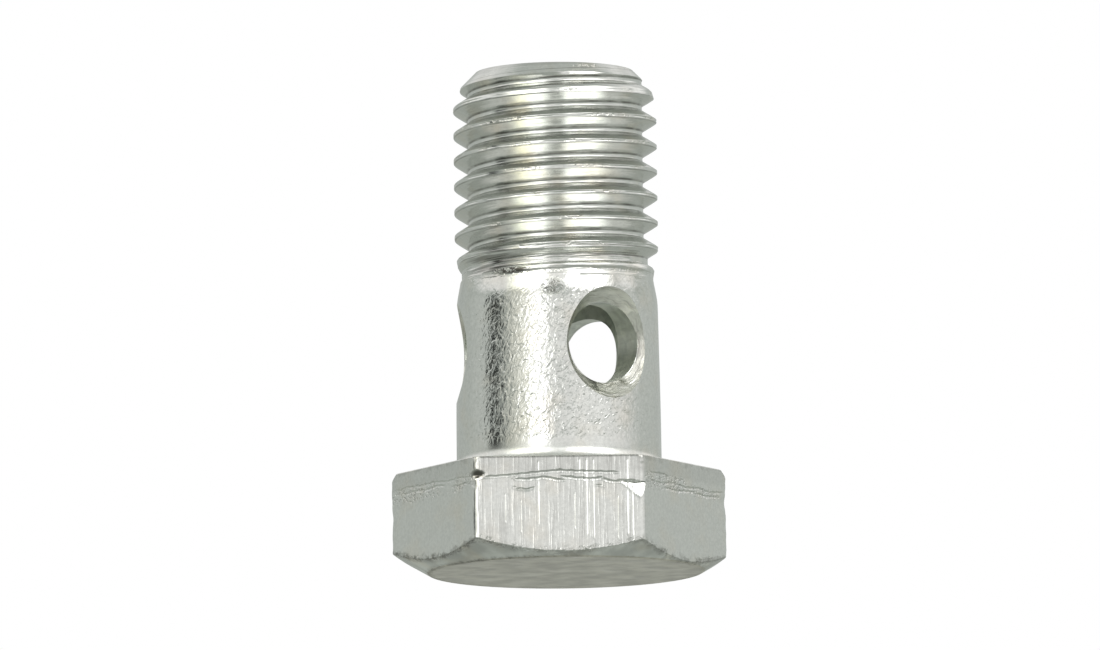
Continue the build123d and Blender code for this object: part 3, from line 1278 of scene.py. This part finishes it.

# %% [markdown]
# ### The thread's finish
#
# Rolling draws the steel along the turns, so the lines of the thread follow its climb: noise over
# the climb gives them, with no image to wrap. The crests are pitted here and there, where they
# didn't quite fill. A thin dark line runs under each crest, and painted shade darkens the corner of
# the root and, faintly, the flanks that face up.

# %% Marks on the thread
CREST_BAND = 0.13
ROOT_CORNER = 0.615  # how far below its crest each flank ends
SMEARED_RUNOUT = (-4.0, -4.3, 17.8)
# how dark the line under the crest is, the painted shade in the root's corner and on the flanks that face
# up, and the smears
UNDER_CREST_GRIME, ROOT_SHADE, UPPER_FLANK_SHADE, SMEAR_GRIME = 0.6, 1.0, 0.14, 0.6


def crest_pits(graph, place, off_crest):
    """Pits along the crests, in patches."""
    patch = graph.step(graph.noise(place, scale=0.5, detail=1.0), 0.5, 0.62)
    pits = graph.step(graph.noise(place, scale=5.0, detail=1.0), 0.5, 0.6)
    return graph.mul(pits, patch, graph.tent(off_crest, CREST_BAND))


def thread_grime_and_shade(graph, place, off_crest, up):
    """A dark line under the crest, and painted shade in the corner of the root and thinly on the flanks that
    face up.
    """
    uneven = graph.step(graph.noise(place, scale=0.9, detail=3.0), 0.35, 0.65, 0.35, 1.0)
    under_crest = graph.mul(graph.tent(graph.add(off_crest, CREST_BAND), 0.035), UNDER_CREST_GRIME)
    # painted shade: darker in the root's corner and, thinly, on the flanks that face up
    corner = graph.mul(graph.tent(graph.add(off_crest, ROOT_CORNER), 0.08), ROOT_SHADE)
    upper_flank = graph.mul(graph.window(off_crest, 0.16, 0.6, 0.06), UPPER_FLANK_SHADE)
    threaded = graph.step(up, THREAD_START - 1.6, THREAD_START - 0.6)
    return graph.mul(graph.add(under_crest, corner, upper_flank), uneven, threaded)


print("the crest is pitted over", 2 * CREST_BAND, "and grime lies", ROOT_CORNER, "below its middle")


# %% The thread's material
def thread_finish():
    finish = Finish("zinc_rolled_thread", 0.18, warmth=0.7, mottle=0.03, mottle_scale=4.0)
    graph = finish.graph
    on_thread = graph.group(thread_place)
    off_crest, climb, up = on_thread["Off Crest"], on_thread["Climb"], on_thread["Up"]

    # Fine lines along the turns, coarser and smeared where the groove runs out.
    finish.bump(graph.noise(climb, scale=6.5, detail=2.0), 0.03)
    runout = graph.window(up, NECK_HEIGHT - 0.4, THREAD_START - 0.5, 0.25)
    runout_lines = graph.noise(climb, scale=3.4, detail=2.0)
    finish.bump(graph.mul(runout_lines, runout), 0.12)
    smeared = graph.group(spot, {"Centre": SMEARED_RUNOUT, "Reach": (3.6, 3.6, 1.5)})["Mask"]
    smears = graph.mul(graph.step(runout_lines, 0.44, 0.56), smeared, SMEAR_GRIME)

    place = place_in_mm(graph)
    finish.pit(crest_pits(graph, place, off_crest), 0.03)
    # the dark line under the crests, with painted shade in the roots and on the flanks that face up
    grime_and_shade = thread_grime_and_shade(graph, place, off_crest, up)
    scuffed = graph.group(scuffs)
    finish.bump(scuffed["Height"], SCUFF_DEPTH)
    finish.darken(grime_and_shade, smears, scuffed["Grime"])
    return finish.material


keep_finish("thread", thread_finish())

# %% [markdown]
# ### The flats' finish
#
# The die that trims the hexagon runs along the flats, so they carry fine upright streaks, a few
# deeper scores and, on the side flats, grit rolled in along the laps. Noise whose height is squashed
# gives the streaks. The scores are few and each is different, so they are a list. Grime lies in the
# crease by the chamfer and along the laps; painted shade darkens the top edge and the notch at the corner.

# %% Marks on the flats
SCORES = (  # along the front flat, from and to this height, and half its width, in millimetres
    (-1.185, 1.9, 4.3, 0.068),
    (-1.185, 5.0, 5.5, 0.068),
    (0.9, 1.6, 3.6, 0.054),
    (1.2, 4.9, 5.6, 0.068),
    (1.6, 1.2, 5.6, 0.074),
    (2.0, 1.0, 5.6, 0.074),
    (3.4, 1.0, 3.4, 0.054),
    (3.95, 1.2, 5.6, 0.095),
    (4.25, 1.2, 4.0, 0.068),
    (-3.1, 2.0, 3.6, 0.047),
    (-2.2, 1.4, 3.2, 0.047),
)
SCORE_DEPTH = 0.016
CREASE_GRIME, FRONT_CREASE_SPARED = 0.45, 0.3
# where a spot of painted shade darkens the dent at a corner of the front flat
CORNER_NOTCH_SHADE = (-4.72, -8.3, 4.82)


def score_mask(graph, along, up):
    deepest = 0.0
    for at, low, high, half_width in SCORES:
        groove = graph.tent(graph.sub(along, at - SIDE_SHIFT), half_width)
        deepest = graph.most(deepest, graph.mul(groove, graph.window(up, low, high, 0.15)))
    return deepest


def lap_grit(graph, along, up):
    """Grit rolled in along the laps, drawn out a little along the flat."""
    drawn = graph.join(along, 9.0, graph.mul(up, 1.6))
    specks = graph.step(graph.noise(drawn, scale=4.0, detail=2.0), 0.52, 0.62)
    return graph.mul(specks, graph.window(up, 4.0, 4.85, 0.2))


print(len(SCORES), "scores, the widest", 2 * max(half_width for *_, half_width in SCORES))


# %% The flats' material
def flat_finish():
    finish = Finish("zinc_streaked_flat", 0.15, warmth=0.6, mottle=0.05, mottle_scale=5.5)
    graph = finish.graph
    on_flat = graph.group(hexagon_place)
    along, up, off_chamfer = on_flat["Along"], on_flat["Up"], on_flat["Off Chamfer"]
    streaks = graph.noise(graph.join(along, 0.0, graph.mul(up, 0.045)), scale=6.5, detail=3.0)
    finish.bump(streaks, 0.024)
    waves = graph.noise(graph.join(along, 4.0, graph.mul(up, 0.12)), scale=1.3, detail=2.0)
    finish.bump(waves, 0.02)
    front = graph.math("LESS_THAN", graph.split(place_in_mm(graph))["Y"], 0.2 - flat_distance)
    sides = graph.sub(1.0, front)
    finish.pit(graph.mul(score_mask(graph, along, up), front), SCORE_DEPTH)

    # Pits along the chamfer, fewer on the front flat, and grit on the side flats.
    near_edge = graph.step(off_chamfer, 0.0, 0.42, 1.0, 0.0)
    pitted = graph.group(edge_pits, {"Near Edge": near_edge})
    pits = graph.mul(pitted["Pits"], graph.sub(1.0, graph.mul(front, 0.6)))
    finish.pit(pits, 0.035)
    grit = graph.mul(lap_grit(graph, along, up), graph.mul(sides, pitted["Patch"]))
    finish.pit(grit, 0.03)

    # Grime in the crease. Painted shade at the top edge of the side flats, in a line at that of the front
    # flat and in the notch. Darker along the streaks of the front flat, and above the laps.
    crease = graph.group(ragged_edge, {"Distance": off_chamfer})["Mask"]
    crease = graph.mul(crease, graph.sub(CREASE_GRIME, graph.mul(front, FRONT_CREASE_SPARED)))
    to_top = graph.sub(HEAD_HEIGHT, up)
    top_values = {"Distance": to_top, "Raggedness": 1.4, "Width": 0.3}
    # painted shade: a ragged dark line at the top edge of the side flats and a thin one on the front flat
    top_edge_shade = graph.mul(graph.group(ragged_edge, top_values)["Mask"], sides, 0.22)
    top_line_shade = graph.mul(graph.step(to_top, 0.04, 0.17, 1.0, 0.0), front, 0.5)
    # painted shade: a dark spot in the dent at the corner
    notch_shade = graph.group(spot, {"Centre": CORNER_NOTCH_SHADE, "Reach": (0.5, 1.2, 0.34)})["Mask"]
    dark_streaks = graph.mul(graph.step(streaks, 0.5, 0.64), 0.18, front)
    above_laps = graph.mul(graph.step(up, 4.65, 5.05), 0.12)
    pits_grit_and_notch_shade = graph.add(graph.mul(pits, 0.34), graph.mul(grit, 0.22), graph.mul(notch_shade, 0.95))
    finish.darken(pits_grit_and_notch_shade, crease, top_edge_shade, top_line_shade, dark_streaks, above_laps)

    # The flats are faintly blotched where the die rubbed less.
    finish.bump(graph.noise(place_in_mm(graph), scale=1.6, detail=4.0), 0.015)
    return finish.material


keep_finish("flat", flat_finish())

# %% [markdown]
# ### The ends' finish
#
# The end face and the chamfer were turned and then tumbled, so they are matt and softly rolling. The
# end face takes a darker, yellower zinc. Both are pitted near their edges, and grime lies in the
# edges, more towards -X. The bearing face and the tip take the same finish.

# %% Ends and chamfer
WORN_CHAMFER = (-6.5, -6.0, 0.6)
END_CREASE_GRIME = 0.75 * CREASE_GRIME


def end_finish():
    finish = Finish("zinc_matt_end", 0.34, warmth=1.0, mottle=0.18, mottle_scale=0.6)
    graph = finish.graph
    finish.wrinkle(depth=0.06, scale=1.5, detail=4.0)
    on_head = graph.group(hexagon_place)
    off_chamfer, off_end = on_head["Off Chamfer"], on_head["Off End"]
    # the end face takes a darker, yellower zinc
    end_face = graph.step(on_head["Up"], 0.02, 0.08, 1.0, 0.0)
    graph.feed(finish.colour.inputs["Base"], graph.blend_colour(end_face, ZINC, ZINC_END_FACE_TONE))

    # Pits by the chamfer's edges, and a net of crinkles on one side.
    near_flats = graph.step(off_chamfer, 0.0, 0.5, 1.0, 0.0)
    near_end = graph.step(off_end, 0.0, 0.5, 1.0, 0.0)
    near_edge = graph.least(graph.add(near_flats, near_end), 1.0)
    values = {"Near Edge": near_edge, "Patch Scale": 0.5, "Detail": 4.0, "Twist": 0.6}
    pits = graph.group(edge_pits, values)["Pits"]
    finish.pit(pits, 0.04)
    across = graph.split(place_in_mm(graph))["X"]
    crinkle = graph.noise(place_in_mm(graph), scale=2.4, detail=2.0, distortion=1.0)
    folds = graph.tent(graph.sub(crinkle, 0.5), 0.04)
    net = graph.mul(folds, near_edge, graph.step(across, -4.5, 1.5, 1.0, 0.0))
    finish.pit(net, 0.06)

    # Grime in both creases. It thins out under the front flat, and towards +X on the end face.
    crease = graph.group(ragged_edge, {"Distance": off_chamfer})["Mask"]
    crease = graph.mul(crease, graph.step(graph.size(across), 3.0, 4.8, 0.3, 1.0))
    end_crease = graph.group(ragged_edge, {"Distance": off_end})["Mask"]
    end_crease = graph.mul(end_crease, graph.step(across, -3.0, 2.0, 1.0, 0.0))
    creases = graph.mul(graph.least(graph.add(crease, end_crease), 1.0), END_CREASE_GRIME)
    dark_spot = graph.group(spot, {"Centre": WORN_CHAMFER, "Reach": (5.0, 5.0, 2.0)})["Mask"]
    finish.darken(graph.mul(pits, 0.22), creases, graph.mul(dark_spot, 0.12), graph.mul(net, 0.3))
    return finish.material


keep_finish("end", end_finish())

# %% [markdown]
# ### The finishes of the holes
#
# Little zinc reaches the inside of a hole, so its wall is dull. The countersinks were cut by hand
# before plating: the cutter left rings round the hole's axis and a few facets, and the rings are
# noise over the direction and distance from that axis. The countersinks take a lighter zinc as painted
# light, and a spot of painted shade greys part of the front one, where it mirrors the tent's bright strip.


# %% Walls of the holes
def hole_finish():
    finish = Finish("zinc_dull_hole", 0.42, warmth=0.3, mottle=0.12, base=ZINC_DULL)
    finish.wrinkle(depth=0.012, scale=3.0, stretch=(0.3, 0.3, 1.0), detail=3.0)
    return finish.material


keep_finish("hole", hole_finish())

# %% Countersinks
# a spot of painted shade on the front countersink, where it mirrors the tent's bright strip
SINK_SHADE_SPOT = (5.0, -3.2, 12.1)
RING_LENGTH, RINGS_A_MM, RING_WANDER = 0.8, 2.4, 1.6


def sink_finish():
    # the countersinks take the lighter zinc as painted light
    finish = Finish("zinc_countersunk_rim", 0.3, warmth=1.0, mottle=0.1, mottle_scale=1.6, base=ZINC_PAINTED_LIGHT)
    graph = finish.graph
    on_sink = graph.group(port_place)
    around, off_axis = graph.split(on_sink["Around"]), on_sink["Off Axis"]
    wander = graph.mul(graph.noise(place_in_mm(graph), scale=0.9, detail=1.0), RING_WANDER)
    turns = graph.join(
        graph.mul(around["X"], RING_LENGTH),
        graph.mul(around["Y"], RING_LENGTH),
        graph.add(graph.mul(off_axis, RINGS_A_MM), wander),
    )
    rings = graph.noise(turns, scale=2.2, detail=3.0)
    finish.bump(rings, 0.07)
    finish.bump(graph.noise(on_sink["Around"], scale=1.6, detail=1.0), 0.12)
    starved = graph.mul(graph.step(rings, 0.5, 0.62), 0.14)
    lines = graph.mul(graph.step(graph.noise(turns, scale=5.0, detail=1.0), 0.54, 0.62), 0.2)
    # painted shade: the spot greys the countersink where it mirrors the bright strip
    dark_spot = graph.group(spot, {"Centre": SINK_SHADE_SPOT, "Reach": (1.7, 1.9, 2.3)})["Mask"]
    finish.darken(starved, lines, graph.mul(dark_spot, 0.44))
    return finish.material


keep_finish("sink", sink_finish())

# %% [markdown]
# ### Which finish each face takes
#
# One piece can carry several materials, one for each face. A face's height, its distance from the
# axis and the way it looks say which surface it belongs to: arrays do that for all faces at once.
# The cones of the countersinks are found by their slope and by where such a cone passes.

# %% Where each face lies, and the way it looks
order = list(finishes)
bolt.data.materials.clear()
for name in order:
    bolt.data.materials.append(finishes[name])
count = len(bolt.data.polygons)
centre = np.empty(count * 3)
bolt.data.polygons.foreach_get("center", centre)
centre = centre.reshape(-1, 3) / MM
normal = np.empty(count * 3)
bolt.data.polygons.foreach_get("normal", normal)
normal = normal.reshape(-1, 3)
out = np.hypot(centre[:, 0], centre[:, 1])
high = centre[:, 2]
print(count, "faces, the furthest", round(float(out.max()), 3), "out")

# %% Stem, head, ends and bore
HAIR = 0.001
LOOKS_UP, LOOKS_DOWN = 0.6, -0.3
CHAMFER_BELOW = 2.0
zone = np.full(count, order.index("shank"))
zone[high > NECK_HEIGHT - 0.3] = order.index("thread")
zone[(high > LENGTH - 0.01) & (normal[:, 2] > 0.9)] = order.index("end")
zone[high < HEAD_HEIGHT - HAIR] = order.index("flat")
zone[(high < CHAMFER_BELOW) & (normal[:, 2] < LOOKS_DOWN)] = order.index("end")
bearing_face = (high > HEAD_HEIGHT - 0.1) & (high <= HEAD_HEIGHT + HAIR) & (normal[:, 2] > LOOKS_UP)
zone[bearing_face] = order.index("end")
zone[(out < BORE_RADIUS + 0.02) & (high > HEAD_HEIGHT)] = order.index("hole")
print("faces of the bearing face", int(bearing_face.sum()))

# %% Cross holes
WALL_MARGIN = 0.012
CONE_MARGIN = 0.12
for port, sink_radius in zip(ports, SINK_RADII):
    axis = np.array(port["axis"])
    offset = centre - np.array([0, 0, PORT_HEIGHT])
    along = offset @ axis
    off_axis = np.linalg.norm(offset - np.outer(along, axis), axis=1)
    inside = (along > 0) & (off_axis < sink_radius + 0.3) & (out > BORE_RADIUS - 0.1)
    on_wall = off_axis < PORT_RADIUS + WALL_MARGIN
    zone[inside & on_wall] = order.index("hole")
    slope_fits = np.abs(normal @ axis - math.cos(math.radians(45))) < CONE_MARGIN
    place_fits = np.abs(off_axis - (sink_radius - (SHANK_RADIUS - along))) < CONE_MARGIN
    on_cone = inside & slope_fits & place_fits & (off_axis > PORT_RADIUS + WALL_MARGIN)
    zone[on_cone] = order.index("sink")
bolt.data.polygons.foreach_set("material_index", zone.astype(np.int32))
bolt.data.update()
print({name: int((zone == i).sum()) for i, name in enumerate(order)})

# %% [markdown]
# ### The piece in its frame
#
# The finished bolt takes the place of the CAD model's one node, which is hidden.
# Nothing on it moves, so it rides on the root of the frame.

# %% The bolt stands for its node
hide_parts("banjo_bolt")
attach(bolt, "root")
print("replaced", "banjo_bolt", "with", bolt.name)

# %% [markdown]
# ## Floor and light
#
# The floor is a pale disc. It has a hole under the bolt's end face, which would otherwise touch it,
# and it is clear from below, because the camera looks slightly upwards. Metal shows what it
# mirrors, so the floor that the metal sees is a calm mid grey.

# %% Floor
FLOOR_RADIUS = 1.0  # in metres, like the ring halfway
FLOOR_MIDDLE_RADIUS = 0.05
FLOOR_HOLE = 7.85 * MM
FLOOR_DROP = 0.02 * MM
FLOOR_STEPS = 128
FLOOR_COLOUR = (0.86, 0.86, 0.85, 1.0)
FLOOR_SEEN_IN_METAL = (0.41, 0.43, 0.40, 1.0)


def floor_disc():
    angle = np.linspace(0, 2 * np.pi, FLOOR_STEPS, endpoint=False)
    ring = np.stack([np.cos(angle), np.sin(angle), np.zeros_like(angle)], axis=1)
    hole = ring * FLOOR_HOLE + np.array([END_CHAMFER_SHIFT_X * MM, 0, 0])
    points = np.concatenate([hole, ring * FLOOR_MIDDLE_RADIUS, ring * FLOOR_RADIUS])
    points[:, 2] = -FLOOR_DROP
    here = np.arange(FLOOR_STEPS)
    after = np.roll(here, -1)
    faces = []
    for low in (0, FLOOR_STEPS):
        high = low + FLOOR_STEPS
        faces += np.stack([low + here, high + here, high + after, low + after], axis=1).tolist()
    mesh = bpy.data.meshes.new("floor")
    mesh.from_pydata(points.tolist(), [], faces)
    return object_of(mesh, "floor")


def floor_material():
    pale = bpy.data.materials.new("pale_floor")
    pale.use_nodes = True
    graph = Graph(pale.node_tree)
    pale.node_tree.nodes.remove(pale.node_tree.nodes["Principled BSDF"])
    matt = graph.node("ShaderNodeBsdfDiffuse", {"Color": FLOOR_COLOUR}).outputs[0]
    glow = graph.node("ShaderNodeEmission", {"Color": FLOOR_SEEN_IN_METAL, "Strength": 1.0}).outputs[0]
    clear = graph.node("ShaderNodeBsdfTransparent").outputs[0]
    behind = graph.node("ShaderNodeNewGeometry").outputs["Backfacing"]
    glossy = graph.node("ShaderNodeLightPath").outputs["Is Glossy Ray"]
    front = graph.node("ShaderNodeMixShader", {0: glossy, 1: matt, 2: glow}).outputs[0]
    both = graph.node("ShaderNodeMixShader", {0: behind, 1: front, 2: clear}).outputs[0]
    graph.feed(pale.node_tree.nodes["Material Output"].inputs["Surface"], both)
    return pale


floor = floor_disc()
floor.data.materials.append(floor_material())
floor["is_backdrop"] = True
print("floor radius", FLOOR_RADIUS, "with", len(floor.data.polygons), "faces")

# %% [markdown]
# ### A light tent
#
# Bright metal has no colour of its own to show: it shows the studio. Instead of lamps, the world
# holds the studio as light by direction. At eye height its level follows a curve round the bolt,
# with a dark strip on the left that draws the shank's dark band and a bright strip beside it.
#
# Above that stand the soft boxes, which the sloping flanks of the thread and the chamfers mirror:
# two large ones left and right that lean outwards, a small one in the middle between them, weak
# ones at both sides, a low one far left, and one behind for the bolt's other half. Their edges are
# soft, as cloth in front of a lamp is. The camera sees plain white instead of all this.

# %% Light levels by direction, in degrees from the front towards +X
AROUND = [
    (-180, 0.50), (-130, 0.52), (-100, 0.60), (-88, 0.64), (-82, 0.05), (-74, 0.04), (-65, 0.40),
    (-50, 0.80), (-36, 1.15), (-28, 2.30), (-15, 2.30), (-11, 1.00), (-3, 0.93), (10, 0.97), (25, 1.06),
    (45, 1.06), (62, 0.96), (80, 0.87), (95, 0.71), (120, 0.61), (180, 0.50),
]
UPPER_LEVEL, ZENITH_LEVEL, LOWER_LEVEL = 0.52, 0.55, 0.42
ABOVE_CURVE, ZENITH, BELOW_EYE = (9, 21), (62, 75), (-7, -2)  # where one level fades to the next
UNEVENNESS = 0.22
print(len(AROUND), "levels at eye height, the brightest", max(level for _, level in AROUND))

# %% Soft boxes
LEFT_BOX, LEFT_BOX_SOFT = (-58, -14), (20, 9)  # each box: from and to, and how soft either end is
RIGHT_BOX, RIGHT_BOX_SOFT = (13, 72), (5, 20)
BACK_BOX, BACK_BOX_SOFT = (125, 235), (12, 12)
BOX_SKEW = 0.8  # degrees the boxes lean outwards for each degree of height
UPRIGHT_AT = 35.0  # the height, in degrees, where their ends are as given
BOX_BOTTOM, BOX_TOP = 22, 60
BOX_LEVEL, BACK_BOX_LEVEL = 2.4, 0.25


def soft_box(graph, azimuth, span, soft, lean=(0.0, 0.0)):
    """1 inside a box that spans these azimuths. Each end is soft and leans outwards by its own amount."""
    start = graph.step(graph.add(azimuth, lean[0]), span[0] - soft[0], span[0] + soft[0])
    end = graph.step(graph.sub(azimuth, lean[1]), span[1] - soft[1], span[1] + soft[1], 1.0, 0.0)
    return graph.mul(start, end)


def small_box(graph, azimuth, elevation, span, heights, soft, edge, level):
    """A box of this level between two heights. Its ends are soft, and so are its top and bottom edge."""
    across = soft_box(graph, azimuth, span, (soft, soft))
    return graph.mul(across, graph.window(elevation, *heights, edge), level)


def large_boxes(graph, azimuth, elevation):
    """The left and the right box, and the one behind."""
    from_behind = graph.math("MODULO", graph.add(azimuth, 360.0), 360.0)
    lean = graph.mul(graph.sub(elevation, UPRIGHT_AT), BOX_SKEW)
    left = soft_box(graph, azimuth, LEFT_BOX, LEFT_BOX_SOFT, (lean, 0.0))
    right = soft_box(graph, azimuth, RIGHT_BOX, RIGHT_BOX_SOFT, (0.0, lean))
    behind = graph.mul(soft_box(graph, from_behind, BACK_BOX, BACK_BOX_SOFT), BACK_BOX_LEVEL)
    boxes = graph.add(graph.mul(graph.add(left, right), BOX_LEVEL), behind)
    return graph.mul(boxes, graph.window(elevation, BOX_BOTTOM, BOX_TOP, 6))


def small_boxes(graph, azimuth, elevation):
    """The middle box, the two at the sides and the low one on the left."""
    side = graph.size(azimuth)
    middle = small_box(graph, azimuth, elevation, (-13, 13), (26, 40), soft=3, edge=3, level=0.62)
    sides = small_box(graph, side, elevation, (80, 142), (20, 46), soft=8, edge=4, level=0.45)
    low = small_box(graph, azimuth, elevation, (-80, -54), (20, 36), soft=7, edge=3, level=0.33)
    return graph.add(middle, sides, low)


print("boxes from", LEFT_BOX[0], "to", RIGHT_BOX[1], "degrees, and one behind")

# %% How bright the tent is, and its tint
SHADE_TINT, LIGHT_TINT = (0.955, 1.0, 0.955, 1.0), (1.02, 1.0, 1.0, 1.0)
WARM_TINT = (1.04, 1.02, 0.90, 1.0)
WARM_FROM, WARM_TO, WARM_SOFT = -62, -34, 8


def level_curve(graph, x, points, name):
    """A curve through (x, level) points, as a ramp over the span of x."""
    low, high = points[0][0], points[-1][0]
    share = graph.div(graph.sub(x, low), high - low)
    ramp = graph.node("ShaderNodeValToRGB", {"Fac": share}, label=name)
    stops = ramp.color_ramp.elements
    peak = max(level for _, level in points)
    while len(stops) < len(points):
        stops.new(0.5)
    for stop, (place, _) in zip(stops, points):
        stop.position = (place - low) / (high - low)
    for stop, (_, level) in zip(stops, points):
        stop.color = (level / peak, level / peak, level / peak, 1)
    return graph.mul(ramp.outputs["Color"], peak)


def tent_level(graph, azimuth, elevation):
    """How bright the tent is: the boxes above, the curve at eye height and an even floor below."""
    upper = graph.add(UPPER_LEVEL, small_boxes(graph, azimuth, elevation))
    upper = graph.add(upper, large_boxes(graph, azimuth, elevation))
    upper = graph.blend(graph.step(elevation, *ZENITH), upper, ZENITH_LEVEL)
    around = level_curve(graph, azimuth, AROUND, "around")
    level = graph.blend(graph.step(elevation, *ABOVE_CURVE), around, upper)
    return graph.blend(graph.step(elevation, *BELOW_EYE, 1.0, 0.0), level, LOWER_LEVEL)


def tent_tint(graph, level, azimuth, elevation):
    """The darker parts are a little green, and the left is warm."""
    tint = graph.blend_colour(graph.step(level, 0.45, 0.9), SHADE_TINT, LIGHT_TINT)
    warm_height = graph.step(elevation, 14, 24, 0.6, 1.0)
    warm = graph.mul(graph.window(azimuth, WARM_FROM, WARM_TO, WARM_SOFT), warm_height)
    return graph.blend_colour(warm, tint, WARM_TINT)


print("the tent is warm from", WARM_FROM, "to", WARM_TO, "degrees")


# %% The tent as the world
WHITE = (1.0, 1.0, 1.0, 1.0)


def light_tent():
    world = bpy.data.worlds.new("light_tent")
    world.use_nodes = True
    graph = Graph(world.node_tree)
    generated = graph.node("ShaderNodeTexCoord").outputs["Generated"]
    direction = graph.split(generated)
    degrees = 180 / math.pi
    forwards = graph.mul(direction["Y"], -1.0)
    azimuth = graph.mul(graph.math("ARCTAN2", direction["X"], forwards), degrees)
    elevation = graph.mul(graph.math("ARCSINE", direction["Z"]), degrees)
    clutter = graph.noise(generated, scale=5.0, detail=3.0)
    uneven = graph.add(1.0, graph.mul(graph.sub(clutter, 0.5), 2 * UNEVENNESS))
    level = graph.mul(tent_level(graph, azimuth, elevation), uneven)
    tint = tent_tint(graph, level, azimuth, elevation)
    seen = graph.node("ShaderNodeLightPath").outputs["Is Camera Ray"]
    background = world.node_tree.nodes["Background"]
    graph.feed(background.inputs["Color"], graph.blend_colour(seen, tint, WHITE))
    graph.feed(background.inputs["Strength"], graph.blend(seen, level, 1.0))
    return world


bpy.context.scene.world = light_tent()
print("world", bpy.context.scene.world.name, "with", len(bpy.context.scene.world.node_tree.nodes), "nodes")

# %% [markdown]
# ## Camera
#
# A long lens from far away draws the bolt almost without perspective, so its sides stay parallel.
# It looks slightly up from a little below, which shows the chamfer's lower edge and the undersides
# of the countersinks, and it is rolled by less than a degree.

# %% Camera
CAMERA_DISTANCE = 1.224
CAMERA_ELEVATION = -7.371
CAMERA_ROLL = 0.743
LENS = 688
AIM = Vector((0, 0, 14.5 * MM))
SIDE_STEP = -0.434 * MM
UP_STEP = 0.017 * MM
tilt = math.radians(-CAMERA_ELEVATION)
forward = Vector((0, math.cos(tilt), math.sin(tilt)))
camera_data = bpy.data.cameras.new("camera")
camera_data.sensor_width = 36  # millimetres, like the lens
camera_data.lens = LENS
camera_data.clip_start, camera_data.clip_end = 0.1, 10
camera = bpy.data.objects.new("camera", camera_data)
bpy.context.scene.collection.objects.link(camera)
roll = Matrix.Rotation(math.radians(-CAMERA_ROLL), 3, "Z").to_quaternion()
turn = forward.to_track_quat("-Z", "Y") @ roll
camera.rotation_mode = "QUATERNION"
camera.rotation_quaternion = turn
right, up = turn @ Vector((1, 0, 0)), turn @ Vector((0, 1, 0))
camera.location = AIM - forward * CAMERA_DISTANCE + right * SIDE_STEP + up * UP_STEP
bpy.context.scene.camera = camera
bpy.context.scene.view_settings.view_transform = "Standard"
print("camera at", [round(value, 4) for value in camera.location])

# %% [markdown]
# ## Size
#
# The size of the finished bolt is printed. The bolt has to stay inside the box of the CAD model,
# because other parts are fitted to that.

# %% Size of the finished bolt
low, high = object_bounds()
print("visual box", [round(v / MM, 3) for v in (*low, *high)])
